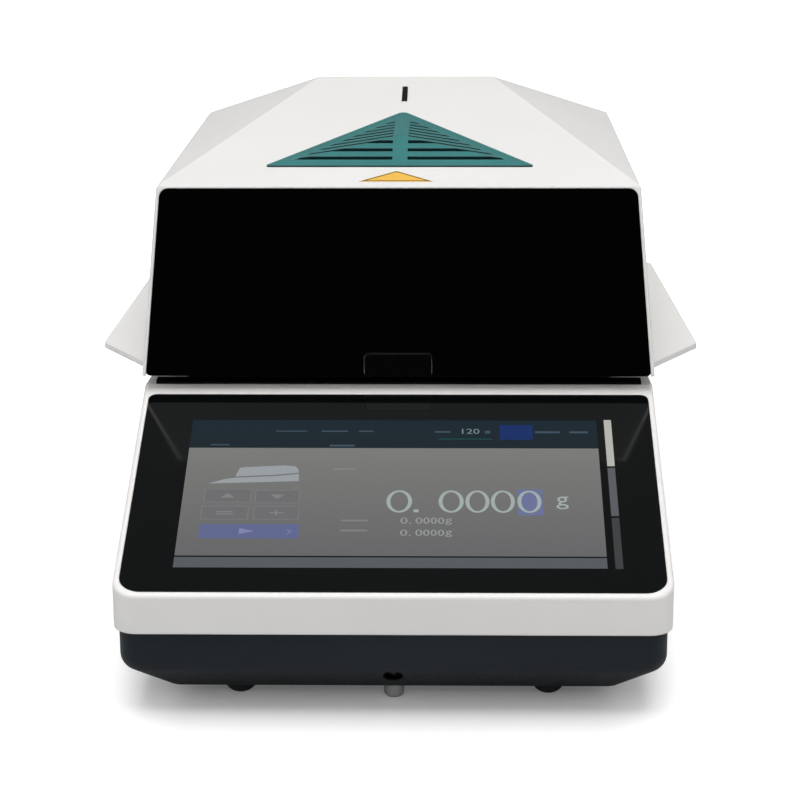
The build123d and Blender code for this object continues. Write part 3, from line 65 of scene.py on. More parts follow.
def addPiece(name, mesh, material, body):
    piece = bpy.data.objects.new(name, mesh)
    bpy.context.scene.collection.objects.link(piece)
    mesh.materials.append(material)
    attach(piece, body)
    return piece


# Shader nodes. A value is a number, a colour or another node's output

def wire(tree, value, socket):
    if isinstance(value, bpy.types.NodeSocket):
        tree.links.new(value, socket)
    else:
        socket.default_value = value


def addMath(tree, operation, first, second=0.0):
    node = tree.nodes.new("ShaderNodeMath")
    node.operation = operation
    wire(tree, first, node.inputs[0])
    wire(tree, second, node.inputs[1])
    return node.outputs["Value"]


def addRange(tree, value, start, end, low=0.0, high=1.0):
    # Carries start to end over to low to high in a straight line, and stays between them
    node = tree.nodes.new("ShaderNodeMapRange")
    wire(tree, value, node.inputs["Value"])
    wire(tree, start, node.inputs["From Min"])
    wire(tree, end, node.inputs["From Max"])
    wire(tree, low, node.inputs["To Min"])
    wire(tree, high, node.inputs["To Max"])
    return node.outputs["Result"]


def addNoise(tree, place, scale, detail=2.0, stretch=None):
    noise = tree.nodes.new("ShaderNodeTexNoise")
    noise.inputs["Scale"].default_value = scale
    noise.inputs["Detail"].default_value = detail
    source = place.outputs["Object"]
    if stretch:
        mapping = tree.nodes.new("ShaderNodeMapping")
        mapping.inputs["Scale"].default_value = stretch
        tree.links.new(source, mapping.inputs["Vector"])
        source = mapping.outputs["Vector"]
    tree.links.new(source, noise.inputs["Vector"])
    return noise.outputs["Fac"]


def spread(tree, noise, low, high):
    # Noise lies mostly between 0.3 and 0.7, and is carried over to low to high
    return addRange(tree, noise, 0.3, 0.7, low, high)


def mixColours(tree, value, first, second):
    node = tree.nodes.new("ShaderNodeMix")
    node.data_type = "RGBA"
    wire(tree, value, node.inputs["Factor"])
    for socket, colour in (("A", first), ("B", second)):
        wire(tree, (*colour, 1) if isinstance(colour, tuple) else colour, node.inputs[socket])
    return node.outputs["Result"]


def takeApart(tree, vector):
    node = tree.nodes.new("ShaderNodeSeparateXYZ")
    tree.links.new(vector, node.inputs["Vector"])
    return node.outputs


def softEdge(tree, radius):
    node = tree.nodes.new("ShaderNodeBevel")
    node.samples = 4
    node.inputs["Radius"].default_value = radius
    return node.outputs["Normal"]


def paintedSlotShade(tree, place, colour, wall):
    # Painted shade: upright faces, such as the sides of a slot, take a dark colour for the shade that lies
    # inside the slots
    rise = addMath(tree, "ABSOLUTE", takeApart(tree, place.outputs["Normal"])["Z"])
    return mixColours(tree, addMath(tree, "GREATER_THAN", rise, wall["rise"]), wall["colour"], colour)


# Finishes. Patterns are read in object coordinates, in metres

def startMaterial(name):
    material = bpy.data.materials.new(name)
    material.use_nodes = True
    tree = material.node_tree
    return material, tree, tree.nodes["Principled BSDF"], tree.nodes.new("ShaderNodeTexCoord")


def surface(name, spec):
    # One finish: a drifting colour, a drifting roughness, a fine grain and slightly rounded edges
    material, tree, shader, place = startMaterial(name)
    stretch = spec.get("stretch")
    drift = spread(tree, addNoise(tree, place, spec.get("driftScale", 18), stretch=stretch), 0, 1)
    colour = mixColours(tree, drift, spec["colour"], spec["tint"])
    # painted shade on upright faces, where the finish asks for it
    if "wall" in spec:
        colour = paintedSlotShade(tree, place, colour, spec["wall"])
    tree.links.new(colour, shader.inputs["Base Color"])
    grain = addNoise(tree, place, spec["grainScale"], stretch=stretch)
    tree.links.new(spread(tree, grain, *spec["rough"]), shader.inputs["Roughness"])
    bump = tree.nodes.new("ShaderNodeBump")
    bump.inputs["Strength"].default_value = spec["bump"]
    bump.inputs["Distance"].default_value = spec.get("bumpDepth", 0.00005)
    tree.links.new(grain, bump.inputs["Height"])
    if "edge" in spec:
        tree.links.new(softEdge(tree, spec["edge"]), bump.inputs["Normal"])
    tree.links.new(bump.outputs["Normal"], shader.inputs["Normal"])
    for socket, value in spec.get("fixed", {}).items():
        shader.inputs[socket].default_value = value
    return material


finishes = {
    "housing_white": {
        "colour": (0.80, 0.79, 0.775), "tint": (0.78, 0.77, 0.755), "rough": (0.38, 0.5),
        "grainScale": 1500, "bump": 0.12, "edge": 0.0009, "fixed": {"Specular IOR Level": 0.45},
    },
    "tray_charcoal": {
        "colour": (0.010, 0.014, 0.018), "tint": (0.013, 0.0175, 0.022), "rough": (0.42, 0.58),
        "grainScale": 1100, "bump": 0.3, "edge": 0.0009, "fixed": {"Specular IOR Level": 0.18},
    },
    "screen_glass": {
        "colour": (0.0015, 0.002, 0.0022), "tint": (0.002, 0.0026, 0.0028), "rough": (0.05, 0.09),
        "grainScale": 60, "bump": 0.01, "edge": 0.0004, "fixed": {"Specular IOR Level": 0.27},
    },
    "lid_black_glass": {
        "colour": (0.0002, 0.0002, 0.0003), "tint": (0.0004, 0.0004, 0.0005), "rough": (0.04, 0.08),
        "grainScale": 45, "bump": 0.01, "edge": 0.0004, "fixed": {"Specular IOR Level": 0.05},
    },
    "grip_black": {
        "colour": (0.0004, 0.0004, 0.0005), "tint": (0.0007, 0.0007, 0.0008), "rough": (0.12, 0.2),
        "grainScale": 700, "bump": 0.05, "edge": 0.0006, "fixed": {"Specular IOR Level": 0.08},
    },
    "grille_teal": {
        "colour": (0.028, 0.165, 0.163), "tint": (0.036, 0.19, 0.187), "rough": (0.34, 0.48),
        "grainScale": 1300, "bump": 0.15, "edge": 0.0005, "fixed": {"Specular IOR Level": 0.35},
        # painted shade in the slots: faces that look up or down by less than rise take this dark colour
        "wall": {"colour": (0.004, 0.03, 0.03), "rise": 0.35},
    },
    "marker_amber": {
        "colour": (0.87, 0.50, 0.075), "tint": (0.83, 0.46, 0.065), "rough": (0.35, 0.45),
        "grainScale": 900, "bump": 0.05, "edge": 0.0003,
    },
    "slit_red": {
        "colour": (0.012, 0.003, 0.002), "tint": (0.008, 0.002, 0.0015), "rough": (0.3, 0.4),
        "grainScale": 500, "bump": 0.03, "edge": 0.0003, "fixed": {"Specular IOR Level": 0.03},
    },
    "plug_black": {
        "colour": (0.008, 0.008, 0.009), "tint": (0.012, 0.012, 0.013), "rough": (0.3, 0.45),
        "grainScale": 900, "bump": 0.1, "edge": 0.0005,
    },
    "foot_rubber": {
        "colour": (0.012, 0.012, 0.013), "tint": (0.02, 0.02, 0.021), "rough": (0.65, 0.85),
        "grainScale": 900, "bump": 0.3, "edge": 0.0006,
    },
    "foot_grey": {
        "colour": (0.42, 0.42, 0.42), "tint": (0.36, 0.36, 0.36), "rough": (0.4, 0.55),
        "grainScale": 900, "bump": 0.12, "edge": 0.0005,
    },
    "leveller_grey": {
        "colour": (0.05, 0.052, 0.055), "tint": (0.065, 0.067, 0.07), "rough": (0.45, 0.6),
        "grainScale": 900, "bump": 0.2, "edge": 0.0005,
    },
    "deck_dark": {
        "colour": (0.03, 0.031, 0.034), "tint": (0.036, 0.037, 0.04), "rough": (0.45, 0.6),
        "grainScale": 1100, "bump": 0.25, "edge": 0.0007,
    },
    "lining_dark": {
        "colour": (0.022, 0.023, 0.025), "tint": (0.028, 0.029, 0.031), "rough": (0.45, 0.6),
        "grainScale": 1100, "bump": 0.25, "edge": 0.0006,
    },
    "steel": {
        "colour": (0.56, 0.56, 0.57), "tint": (0.48, 0.48, 0.49), "rough": (0.22, 0.38),
        "grainScale": 900, "stretch": (0.05, 1, 1), "bump": 0.08, "edge": 0.0003,
        "fixed": {"Metallic": 1.0, "Anisotropic": 0.4},
    },
    "polished_reflector": {
        "colour": (0.82, 0.82, 0.81), "tint": (0.75, 0.75, 0.74), "rough": (0.06, 0.14),
        "grainScale": 260, "bump": 0.04, "edge": 0.0004, "fixed": {"Metallic": 1.0},
    },
    "aluminium": {
        "colour": (0.68, 0.69, 0.70), "tint": (0.60, 0.61, 0.62), "rough": (0.3, 0.45),
        "grainScale": 700, "stretch": (1, 0.06, 1), "bump": 0.08, "edge": 0.0004,
        "fixed": {"Metallic": 1.0},
    },
    "brass": {
        "colour": (0.62, 0.42, 0.17), "tint": (0.5, 0.33, 0.12), "rough": (0.25, 0.4),
        "grainScale": 600, "bump": 0.06, "edge": 0.0003, "fixed": {"Metallic": 1.0},
    },
    "clear_glass": {
        "colour": (0.93, 0.96, 0.95), "tint": (0.9, 0.95, 0.93), "rough": (0.02, 0.06),
        "grainScale": 120, "bump": 0.01, "fixed": {"Transmission Weight": 1.0, "IOR": 1.47},
    },
    "lamp_quartz": {
        "colour": (0.95, 0.93, 0.88), "tint": (0.9, 0.86, 0.78), "rough": (0.05, 0.15),
        "grainScale": 300, "bump": 0.03, "fixed": {"Transmission Weight": 0.7, "IOR": 1.46},
    },
    "ceramic": {
        "colour": (0.72, 0.68, 0.6), "tint": (0.66, 0.62, 0.54), "rough": (0.5, 0.7),
        "grainScale": 800, "bump": 0.2, "edge": 0.0005,
    },
    "board_green": {
        "colour": (0.015, 0.12, 0.05), "tint": (0.03, 0.16, 0.07), "rough": (0.3, 0.45),
        "driftScale": 220, "grainScale": 900, "bump": 0.15, "edge": 0.0003,
    },
    "display_module": {
        "colour": (0.05, 0.05, 0.055), "tint": (0.07, 0.07, 0.075), "rough": (0.35, 0.5),
        "grainScale": 700, "bump": 0.1, "edge": 0.0004,
    },
    "socket_black": {
        "colour": (0.01, 0.01, 0.011), "tint": (0.015, 0.015, 0.016), "rough": (0.35, 0.5),
        "grainScale": 1200, "bump": 0.2, "edge": 0.0004,
    },
    "panel_grey": {
        "colour": (0.12, 0.125, 0.13), "tint": (0.1, 0.105, 0.11), "rough": (0.4, 0.55),
        "grainScale": 1000, "bump": 0.2, "edge": 0.0003,
    },
    "vial_green": {
        "colour": (0.55, 0.8, 0.25), "tint": (0.5, 0.75, 0.2), "rough": (0.03, 0.08),
        "grainScale": 200, "bump": 0.02, "fixed": {"Transmission Weight": 0.6},
    },
    "motor_steel": {
        "colour": (0.3, 0.3, 0.31), "tint": (0.25, 0.25, 0.26), "rough": (0.3, 0.45),
        "grainScale": 800, "stretch": (0.06, 1, 1), "bump": 0.08, "edge": 0.0005,
        "fixed": {"Metallic": 1.0},
    },
}

slotOfNode = {row["node"]: row["material_slot"] for row in frame["record"]["subparts"]}
slotOfNode["heat_baffle"] = "lining_dark"  # made dark as painted shade, for the shade inside the case seen through the grille
madeFinishes = {slot: surface(slot, spec) for slot, spec in finishes.items()}
for node, piece in frame["nodes"].items():
    piece.data.materials.clear()
    piece.data.materials.append(madeFinishes[slotOfNode[node]])
print("finishes given to", len(slotOfNode), "nodes")


# Screen picture: flat pieces laid on the touch glass, each a hair above the last.
# Their places are in millimetres across from the middle and up the slope from its front edge

screenPlace = {
    "frontEdge": (0.0, -0.185, 0.0478),  # middle of the case's front lip, where the slope starts
    "slope": math.radians(18.5),
    "lift": 0.00003,  # between one layer and the next
}
slopeUp = Vector((0, math.cos(screenPlace["slope"]), math.sin(screenPlace["slope"])))
slopeOut = Vector((0, -math.sin(screenPlace["slope"]), math.cos(screenPlace["slope"])))
screenFrame = Matrix.Translation(Vector(screenPlace["frontEdge"])) @ Matrix(
    ((1, 0, 0, 0), (0, slopeUp.y, slopeOut.y, 0), (0, slopeUp.z, slopeOut.z, 0), (0, 0, 0, 1))
)


def layOnScreen(points, layer):
    # points is n x 2, in millimetres across and up the slope
    flat = np.column_stack([points * mm, np.full(len(points), layer * screenPlace["lift"])])
    turn = np.array(screenFrame.to_3x3())
    return flat @ turn.T + np.array(screenFrame.translation)


def screenSheet(name, left, right, low, high, material, layer, cells=(1, 1)):
    # A flat grid from one corner to the other
    across, up = np.meshgrid(
        np.linspace(left, right, cells[0] + 1), np.linspace(low, high, cells[1] + 1)
    )
    points = layOnScreen(np.column_stack([across.ravel(), up.ravel()]), layer)
    return addPiece(name, gridMesh(name, points.reshape(cells[1] + 1, cells[0] + 1, 3)), material, "base")


def screenRing(name, outer, inner, material, layer):
    # Two closed outlines of as many points each, as the two rows of one grid
    points = layOnScreen(np.concatenate([outer, inner]), layer).reshape(2, len(outer), 3)
    return addPiece(name, gridMesh(name, points, closedAcross=True), material, "base")


def screenFrameLine(name, left, right, low, high, width, material, layer):
    # A thin frame between a rectangle and the same rectangle drawn in by its width
    outer = np.array([(left, low), (right, low), (right, high), (left, high)])
    inward = np.array([(1, 1), (-1, 1), (-1, -1), (1, -1)]) * width
    return screenRing(name, outer, outer + inward, material, layer)


def screenZero(name, left, right, low, high, side, top, material, layer, steps=40):
    # An upright ring between two ellipses: x = middle + a cos t, y = middle + b sin t
    turn = np.linspace(0, 2 * np.pi, steps, endpoint=False)
    around = np.column_stack([np.cos(turn), np.sin(turn)])
    middle = np.array([(left + right) / 2, (low + high) / 2])
    outer = np.array([(right - left) / 2, (high - low) / 2])
    inner = outer - np.array([side, top])
    return screenRing(name, middle + around * outer, middle + around * inner, material, layer)


def screenOutline(name, points, material, layer):
    # One flat face with the given corners, which run round it against the clock
    placed = layOnScreen(np.array(points, float), layer)
    mesh = bpy.data.meshes.new(name)
    mesh.from_pydata(placed.tolist(), [], [list(range(len(points)))])
    mesh.update()
    return addPiece(name, mesh, material, "base")


def screenText(name, text, place, material, layer):
    # Figures of the built-in face, made a mesh, stretched to their place and laid on the slope
    curve = bpy.data.curves.new(name, "FONT")
    curve.body = text
    curve.resolution_u = 4
    holder = bpy.data.objects.new(name + "_source", curve)
    bpy.context.scene.collection.objects.link(holder)
    bpy.context.view_layer.update()
    mesh = bpy.data.meshes.new_from_object(holder)
    bpy.data.objects.remove(holder)
    flat = meshPoints(mesh)[:, :2]
    left, low, width, height = place
    share = (flat - flat.min(axis=0)) / (flat.max(axis=0) - flat.min(axis=0))
    points = layOnScreen(share * (width, height) + (left, low), layer)
    mesh.vertices.foreach_set("co", points.ravel())
    mesh.update()
    return addPiece(name, mesh, material, "base")


# Inks: lit colours as a colour picker shows them, 0 to 255. Two colours stand for the foot
# and the head of a stretch up the slope, which is the whole grey ground unless one is given

inkColours = {
    # the grey ground: partly the screen's own grey, partly painted reflection of haze on the glass, lighter
    # towards the head of the slope
    "ground": ((98, 98, 101), (120, 120, 117)),
    "band": ((20, 34, 41), (16, 36, 47), (84.0, 101.25)),
    # painted reflection: the LCD's metal frame below the picture, made to glow
    "frameReflection": ((86, 90, 95),),
    "line": ((10, 11, 13),),
    "figure": ((158, 170, 167),),
    "small": ((146, 150, 150),),
    "faint": ((126, 127, 127),),
    "button": ((107, 107, 109),),
    "buttonEdge": ((120, 121, 123),),
    "start": ((95, 102, 142),),
    "startMark": ((124, 130, 168),),
    "cursor": ((104, 112, 152),),
    "tab": ((14, 44, 98),),
    "bandMark": ((58, 78, 92),),
    "bandFigure": ((112, 134, 136),),
    "tealLine": ((16, 84, 84),),
    "picture": ((150, 155, 160),),
    # painted reflection on the LCD's metal frame at the right, pale at the top and darker towards the foot,
    # made to glow
    "frameReflectionPale": ((178, 178, 172),),
    "frameReflectionGrey": ((88, 92, 96),),
    "frameReflectionDark": ((62, 64, 66),),
}
glow = {
    "reach": (15.35, 84.8),
    "grainScale": 2500, "flicker": (0.96, 1.04),  # a faint pixel grain
    "dark": (0.004, 0.004, 0.004, 1), "rough": 0.1, "specular": 0.2,  # the glass when nothing is lit
}


def shade(colour):
    # From a colour picker's scale to the shader's own
    return tuple((np.array(colour) / 255.0) ** 2.2)


def litInk(name, low, high=None, reach=glow["reach"]):
    material, tree, shader, place = startMaterial(name)
    foot, head = (layOnScreen(np.array([[0.0, up]]), 0)[0, 1] for up in reach)
    climb = addRange(tree, takeApart(tree, place.outputs["Object"])["Y"], foot, head)
    slope = mixColours(tree, climb, shade(low), shade(high or low))
    lit = tree.nodes.new("ShaderNodeVectorMath")
    lit.operation = "SCALE"
    tree.links.new(slope, lit.inputs[0])
    flicker = spread(tree, addNoise(tree, place, glow["grainScale"], 1.0), *glow["flicker"])
    tree.links.new(flicker, lit.inputs["Scale"])
    tree.links.new(lit.outputs["Vector"], shader.inputs["Emission Color"])
    shader.inputs["Emission Strength"].default_value = 1.0
    shader.inputs["Base Color"].default_value = glow["dark"]
    shader.inputs["Roughness"].default_value = glow["rough"]
    shader.inputs["Specular IOR Level"].default_value = glow["specular"]
    return material


inks = {name: litInk(name, *colours) for name, colours in inkColours.items()}

display = {
    "sides": (-78.1, 75.9),
    "rows": [
        # name, foot, head, ink, cells up
        # grey ground, with its painted reflection haze
        ("screen_ground_and_haze", 21.8, 84.0, "ground", 10),
        ("screen_band", 84.0, 101.25, "band", 3),
        ("screen_line", 21.0, 21.8, "line", 1),
        # the metal frame below the picture, in its painted reflection
        ("screen_frame_reflection", 15.35, 21.0, "frameReflection", 1),
    ],
    "cellsAcross": 24,
    # the metal frame at the right: painted reflection, pale at the top and darker towards the foot
    "frameReflectionSides": (78.7, 81.5),
    "bars": [
        ("frame_reflection_top", 73.4, 101.6, "frameReflectionPale", 4),
        ("frame_reflection_middle", 44.4, 72.4, "frameReflectionGrey", 4),
        ("frame_reflection_foot", 15.2, 43.3, "frameReflectionDark", 4),
    ],
}
for name, low, high, ink, cells in display["rows"]:
    screenSheet(name, *display["sides"], low, high, inks[ink], 1, (display["cellsAcross"], cells))
# the frame's painted reflection, laid as glowing sheets
for name, low, high, ink, cells in display["bars"]:
    screenSheet(name, *display["frameReflectionSides"], low, high, inks[ink], 1, (1, cells))

reading = {
    "low": 46.0, "high": 58.8, "side": 1.45, "top": 0.95,
    "zeros": [(-3.1, 6.3), (16.0, 25.2), (25.8, 34.6), (35.1, 43.9), (44.8, 53.6)],
    "point": (6.9, 8.7, 46.2, 47.8),
    "cursor": (44.8, 54.1, 44.6, 59.5),
    "unit": (59.0, 48.1, 4.5, 7.3),  # left, low, width, height
}
screenSheet("cursor_block", *reading["cursor"], inks["cursor"], 2)
for index, (start, end) in enumerate(reading["zeros"]):
    screenZero(f"reading_{index}", start, end, reading["low"], reading["high"], reading["side"],
               reading["top"], inks["figure"], 3)
screenSheet("reading_point", *reading["point"], inks["figure"], 3)
screenText("reading_unit", "g", reading["unit"], inks["figure"], 3)

lesser = {
    "lows": (39.7, 32.9), "height": 3.5, "side": 0.6, "top": 0.4,
    "zeros": [(2.2, 4.8), (7.7, 10.2), (10.5, 12.8), (13.2, 15.4), (15.8, 18.1)],
    "point": (5.4, 6.0), "pointHeight": 0.6,
    "unitLeft": 18.5, "unitDrop": 0.6, "unitWidth": 2.4,
}
for row, low in enumerate(lesser["lows"]):
    for index, (start, end) in enumerate(lesser["zeros"]):
        screenZero(f"lesser_{row}_{index}", start, end, low, low + lesser["height"], lesser["side"],
                   lesser["top"], inks["small"], 3)
    screenSheet(f"lesser_point_{row}", *lesser["point"], low, low + lesser["pointHeight"], inks["small"], 3)
    unit = (lesser["unitLeft"], low - lesser["unitDrop"], lesser["unitWidth"], lesser["height"])
    screenText(f"lesser_unit_{row}", "g", unit, inks["small"], 3)

# Buttons with plain signs: up and down for the lid, a level and a cross for the scale.
# The corners of a sign are set from the middle of its button
buttons = {
    "frame": 0.3,
    "places": [
        # sign, left, right, low, high
        ("up", -70.2, -52.9, 51.7, 59.4), ("down", -51.4, -35.0, 51.2, 58.8),
        ("level", -70.6, -53.3, 41.8, 49.5), ("cross", -51.4, -34.8, 41.9, 49.5),
    ],
    "signs": {
        "up": [[(-2.6, -1.2), (2.6, -1.2), (0, 1.4)]],
        "down": [[(-2.6, 1.2), (0, -1.4), (2.6, 1.2)]],
        "level": [
            [(-3, 0.3), (3, 0.3), (3, 0.9), (-3, 0.9)],
            [(-3, -0.9), (3, -0.9), (3, -0.3), (-3, -0.3)],
        ],
        "cross": [
            [(-2.6, -0.3), (2.6, -0.3), (2.6, 0.3), (-2.6, 0.3)],
            [(-0.4, -1.3), (0.4, -1.3), (0.4, 1.3), (-0.4, 1.3)],
        ],
    },
}
for sign, start, end, low, high in buttons["places"]:
    screenSheet(f"button_{sign}", start, end, low, high, inks["button"], 2)
    screenFrameLine(f"button_{sign}_frame", start, end, low, high, buttons["frame"], inks["buttonEdge"], 3)
    middle = np.array([(start + end) / 2, (low + high) / 2])
    for index, corners in enumerate(buttons["signs"][sign]):
        screenOutline(f"sign_{sign}_{index}", np.array(corners) + middle, inks["faint"], 3)

startKey = {
    "place": (-70.5, -34.4, 31.3, 39.2),
    "mark": [(-56, 33.6), (-50.5, 35.3), (-56, 37.0)],
    "next": [(-38.9, 33.9), (-38.3, 33.9), (-36.9, 35.0), (-38.3, 36.2), (-38.9, 36.2), (-37.5, 35.0)],
}
screenSheet("button_start", *startKey["place"], inks["start"], 2)
screenOutline("start_mark", startKey["mark"], inks["startMark"], 3)
screenOutline("start_next", startKey["next"], inks["startMark"], 3)

# Side picture of the analyser: case below, lid above, with a dark gap between
sidePicture = {
    "picture_case": [
        (-69.2, 62.6), (-35.8, 64.1), (-35.9, 68.3), (-45.0, 67.0), (-59.5, 66.0), (-63.3, 65.2),
    ],
    "picture_lid": [
        (-59.5, 66.8), (-45.0, 67.8), (-36.0, 69.1), (-36.3, 71.1), (-37.5, 72.8), (-41.5, 73.4),
        (-56.5, 72.3), (-58.2, 71.8),
    ],
}
for name, corners in sidePicture.items():
    screenOutline(name, corners, inks["picture"], 2)

# Short bars on the display: left, right, low and high
bars = {
    "faint": [
        (-23.4, -14.8, 70.7, 71.7), (-19.3, -9.6, 41.0, 41.9), (-19.4, -9.6, 35.4, 36.3),
        (-37.9, -35.7, 59.8, 60.2),
    ],
    "bandMark": [
        (-46.0, -34.0, 94.0, 94.6), (-28.6, -18.6, 93.9, 94.7), (-14.4, -8.9, 93.9, 94.7),
        (14.4, 20.3, 93.5, 94.5), (33.4, 35.4, 93.0, 94.8), (52.3, 61.8, 93.3, 94.5),
        (65.4, 72.4, 93.3, 94.5), (-70.2, -63.1, 85.5, 86.2), (-25.2, -15.8, 84.9, 86.0),
    ],
    "tealLine": [(15.9, 36.0, 89.4, 89.8)],
}
for ink, places in bars.items():
    for index, (start, end, low, high) in enumerate(places):
        screenSheet(f"{ink}_bar_{index}", start, end, low, high, inks[ink], 2)

band = {
    "tab": (39.0, 51.4, 89.2, 98.3),
    "reading": (24.7, 92.8, 6.6, 3.1),  # left, low, width, height
}
screenSheet("tab_active", *band["tab"], inks["tab"], 2)
screenText("band_reading", "120", band["reading"], inks["bandFigure"], 3)
print("screen picture laid")


# Painted shade: a black strip on the case, just behind the sloping face and under the lid's front edge,
# where the gap lies in shade

lidGapShade = {
    "start": -0.0669, "end": -0.0607, "low": 0.08721, "thick": 0.0012, "halfWidth": 0.0945,
    "shoulder": 0.4,  # the smaller, the squarer
    "turns": 15, "stations": 81,
    # the black of the painted shade in the gap
    "shadeBlack": {
        "colour": (0.002, 0.002, 0.002), "tint": (0.004, 0.004, 0.004), "rough": (0.8, 0.95),
        "grainScale": 1600, "bump": 0.5, "bumpDepth": 0.0001, "fixed": {"Specular IOR Level": 0.1},
    },
}


def gapShadeMesh(name, sizes):
    # A profile with full shoulders, carried straight across: y = middle + reach cos t and
    # z = low + thick sin t, with the cosine and the sine raised to the power shoulder
    turn = np.linspace(0, np.pi, sizes["turns"])
    middle, reach = (sizes["start"] + sizes["end"]) / 2, (sizes["end"] - sizes["start"]) / 2
    y = middle + reach * np.sign(np.cos(turn)) * np.abs(np.cos(turn)) ** sizes["shoulder"]
    z = sizes["low"] + sizes["thick"] * np.sin(turn) ** sizes["shoulder"]
    x = np.linspace(-sizes["halfWidth"], sizes["halfWidth"], sizes["stations"])
    points = np.stack([
        np.repeat(x[:, None], len(y), 1), np.repeat(y[None], len(x), 0), np.repeat(z[None], len(x), 0)
    ], axis=-1)
    return gridMesh(name, points)


# the strip that paints the shade under the lid's front edge
gapShadePiece = addPiece("lid_gap_shade", gapShadeMesh("lid_gap_shade", lidGapShade), surface("gap_shade_black", lidGapShade["shadeBlack"]), "base")
gapShadePiece.data.shade_smooth()
print("seal laid")


# Dark brown border round the top face of the amber plate, a little in from its edges

border = {
    "inset": 0.00015, "width": 0.0006, "lift": 0.00006,
    "endDepth": 0.0008,  # how much of the plate counts as its front or its tip
    "brown": {
        "colour": (0.09, 0.05, 0.012), "tint": (0.07, 0.04, 0.01), "rough": (0.4, 0.5),
        "grainScale": 900, "bump": 0.03,
    },
}


def upperPoints(points, endDepth):
    # The points above the sloping plane that lies halfway through a thin plate
    ends = points[:, 1].min(), points[:, 1].max()
    middles = [points[np.abs(points[:, 1] - end) < endDepth][:, 2].mean() for end in ends]
    return points[points[:, 2] > np.interp(points[:, 1], ends, middles)]


def borderMesh(name, plate, sizes):
    # The plate's corners, shrunk towards the circle that touches all three sides:
    # corner' = centre + (corner - centre) (1 - inset / radius)
    top = upperPoints(meshPoints(plate), sizes["endDepth"])
    corners = np.stack([top[top[:, 0].argmin()], top[top[:, 0].argmax()], top[top[:, 1].argmax()]])
    sides = np.linalg.norm(np.roll(corners, -1, 0) - np.roll(corners, 1, 0), axis=1)
    across = np.cross(corners[1] - corners[0], corners[2] - corners[0])
    centre = sides @ corners / sides.sum()
    radius = np.linalg.norm(across) / sides.sum()
    shrink = 1 - np.array([sizes["inset"], sizes["inset"] + sizes["width"]]) / radius
    rings = centre + (corners - centre)[None] * shrink[:, None, None]
    return gridMesh(name, rings + across / np.linalg.norm(across) * sizes["lift"], closedAcross=True)


ring = borderMesh("marker_border", frame["nodes"]["marker_plate"].data, border)
addPiece("marker_border", ring, surface("border_brown", border["brown"]), "lid")
print("border laid")


# Studio: a pale floor with painted light that thins the case's shadow away from it, soft lamps, a white
# room and the camera

studio = {
    "floorHalf": 6.0,
    "floorColour": (0.93, 0.93, 0.93),
    "floorBounce": (0.62, 0.62, 0.62),  # what the object gets back from the floor
    "floorRough": 0.9,
    "floorSpecular": 0.1,
    "floorGlow": 0.11,  # painted light: a glow added for the camera only, up to 1 at the far end of its reach, which washes the shadow out away from the case
    "floorGlowReach": (0.3, 0.9),
    "sideGlowReach": (0.075, 0.135),  # and up to the side glow's worth more painted light to the left and right of the case, where it washes the shadow out
    "sideGlow": 0.5,
    "roomSeen": 1.0,
    "roomLight": 0.22,
    "roomGloss": 0.18,  # what glossy surfaces see of the room
    "lamps": [
        # name, place, aim, size, power
        ("topLamp", (0.0, -0.25, 1.7), (0.0, -0.1, 0.1), 1.5, 24.5),
        ("frontLamp", (0.0, -1.6, 1.4), (0.0, 0.0, 0.1), 0.9, 8.4),
        ("leftLamp", (-1.5, -0.3, 0.9), (0.0, 0.0, 0.1), 1.0, 4.0),
        ("rightLamp", (1.5, -0.3, 0.9), (0.0, 0.0, 0.1), 1.0, 4.0),
    ],
}


def floorSurface():
    material, tree, shader, place = startMaterial("studioFloor")
    shader.inputs["Roughness"].default_value = studio["floorRough"]
    shader.inputs["Specular IOR Level"].default_value = studio["floorSpecular"]
    rays = tree.nodes.new("ShaderNodeLightPath").outputs
    colour = mixColours(tree, rays["Is Camera Ray"], studio["floorBounce"], studio["floorColour"])
    tree.links.new(colour, shader.inputs["Base Color"])
    distance = tree.nodes.new("ShaderNodeVectorMath")
    distance.operation = "LENGTH"
    tree.links.new(place.outputs["Object"], distance.inputs[0])
    # painted light on the floor, seen by camera and transmission rays: it grows away from the case and
    # beside it, thinning its shadow
    glowAway = addRange(tree, distance.outputs["Value"], *studio["floorGlowReach"], studio["floorGlow"])
    aside = addMath(tree, "ABSOLUTE", takeApart(tree, place.outputs["Object"])["X"])
    glowBeside = addRange(tree, aside, *studio["sideGlowReach"], 0.0, studio["sideGlow"])
    seen = addMath(tree, "MAXIMUM", rays["Is Camera Ray"], rays["Is Transmission Ray"])
    lift = addMath(tree, "MULTIPLY", seen, addMath(tree, "ADD", glowAway, glowBeside))
    shader.inputs["Emission Color"].default_value = (1, 1, 1, 1)
    tree.links.new(lift, shader.inputs["Emission Strength"])
    return material


half = studio["floorHalf"]
corners = np.array([[(-half, -half, 0), (half, -half, 0)], [(-half, half, 0), (half, half, 0)]], float)
floorPiece = bpy.data.objects.new("floor", gridMesh("floor", corners))
bpy.context.scene.collection.objects.link(floorPiece)
floorPiece.data.materials.append(floorSurface())

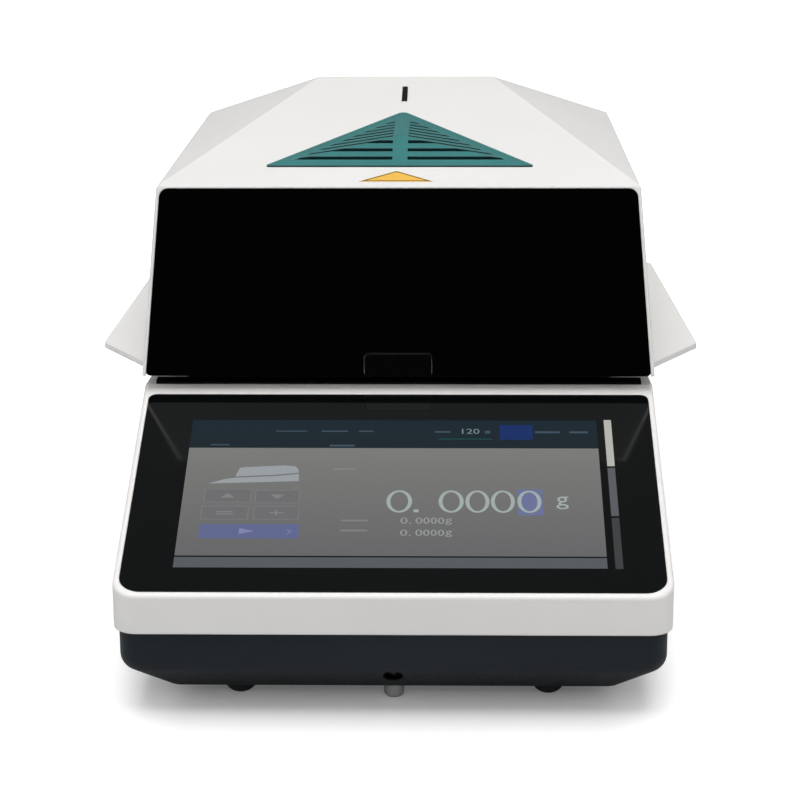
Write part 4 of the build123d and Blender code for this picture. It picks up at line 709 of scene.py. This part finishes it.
room = bpy.data.worlds.new("studioWorld")
bpy.context.scene.world = room
room.use_nodes = True
tree = room.node_tree
ground = tree.nodes["Background"]
rays = tree.nodes.new("ShaderNodeLightPath").outputs
unseen = addRange(tree, rays["Is Glossy Ray"], 0, 1, studio["roomLight"], studio["roomGloss"])
brightness = addRange(tree, rays["Is Camera Ray"], 0, 1, unseen, studio["roomSeen"])
tree.links.new(brightness, ground.inputs["Strength"])
ground.inputs["Color"].default_value = (1, 1, 1, 1)

for name, spot, aim, size, power in studio["lamps"]:
    lamp = bpy.data.lights.new(name, "AREA")
    lamp.shape = "SQUARE"
    lamp.size = size
    lamp.energy = power
    holder = bpy.data.objects.new(name, lamp)
    holder.location = spot
    holder.rotation_euler = (Vector(aim) - Vector(spot)).to_track_quat("-Z", "Y").to_euler()
    bpy.context.scene.collection.objects.link(holder)

view = {
    "place": (0.01964, -0.97030, 0.38327),
    "turn": math.radians(-1.206),  # to the side, from straight ahead
    "down": math.radians(18.512),
    "roll": math.radians(-0.285),
    "focus": 2440.1,  # in pixels of a picture that is pictureWidth across
    "pictureWidth": 800,
    "sensor": 36,
}
forward = Vector((
    math.sin(view["turn"]) * math.cos(view["down"]),
    math.cos(view["turn"]) * math.cos(view["down"]),
    -math.sin(view["down"]),
))
level = Vector((math.cos(view["turn"]), -math.sin(view["turn"]), 0))
upright = level.cross(forward)
across = level * math.cos(view["roll"]) + upright * math.sin(view["roll"])
above = upright * math.cos(view["roll"]) - level * math.sin(view["roll"])
lens = bpy.data.cameras.new("camera")
lens.sensor_width = view["sensor"]
lens.lens = view["focus"] / view["pictureWidth"] * view["sensor"]
camera = bpy.data.objects.new("camera", lens)
camera.matrix_world = Matrix.Translation(view["place"]) @ Matrix((
    (across.x, above.x, -forward.x, 0),
    (across.y, above.y, -forward.y, 0),
    (across.z, above.z, -forward.z, 0),
    (0, 0, 0, 1),
))
bpy.context.scene.collection.objects.link(camera)
bpy.context.scene.camera = camera
bpy.context.scene.view_settings.view_transform = "Standard"
print("studio set")
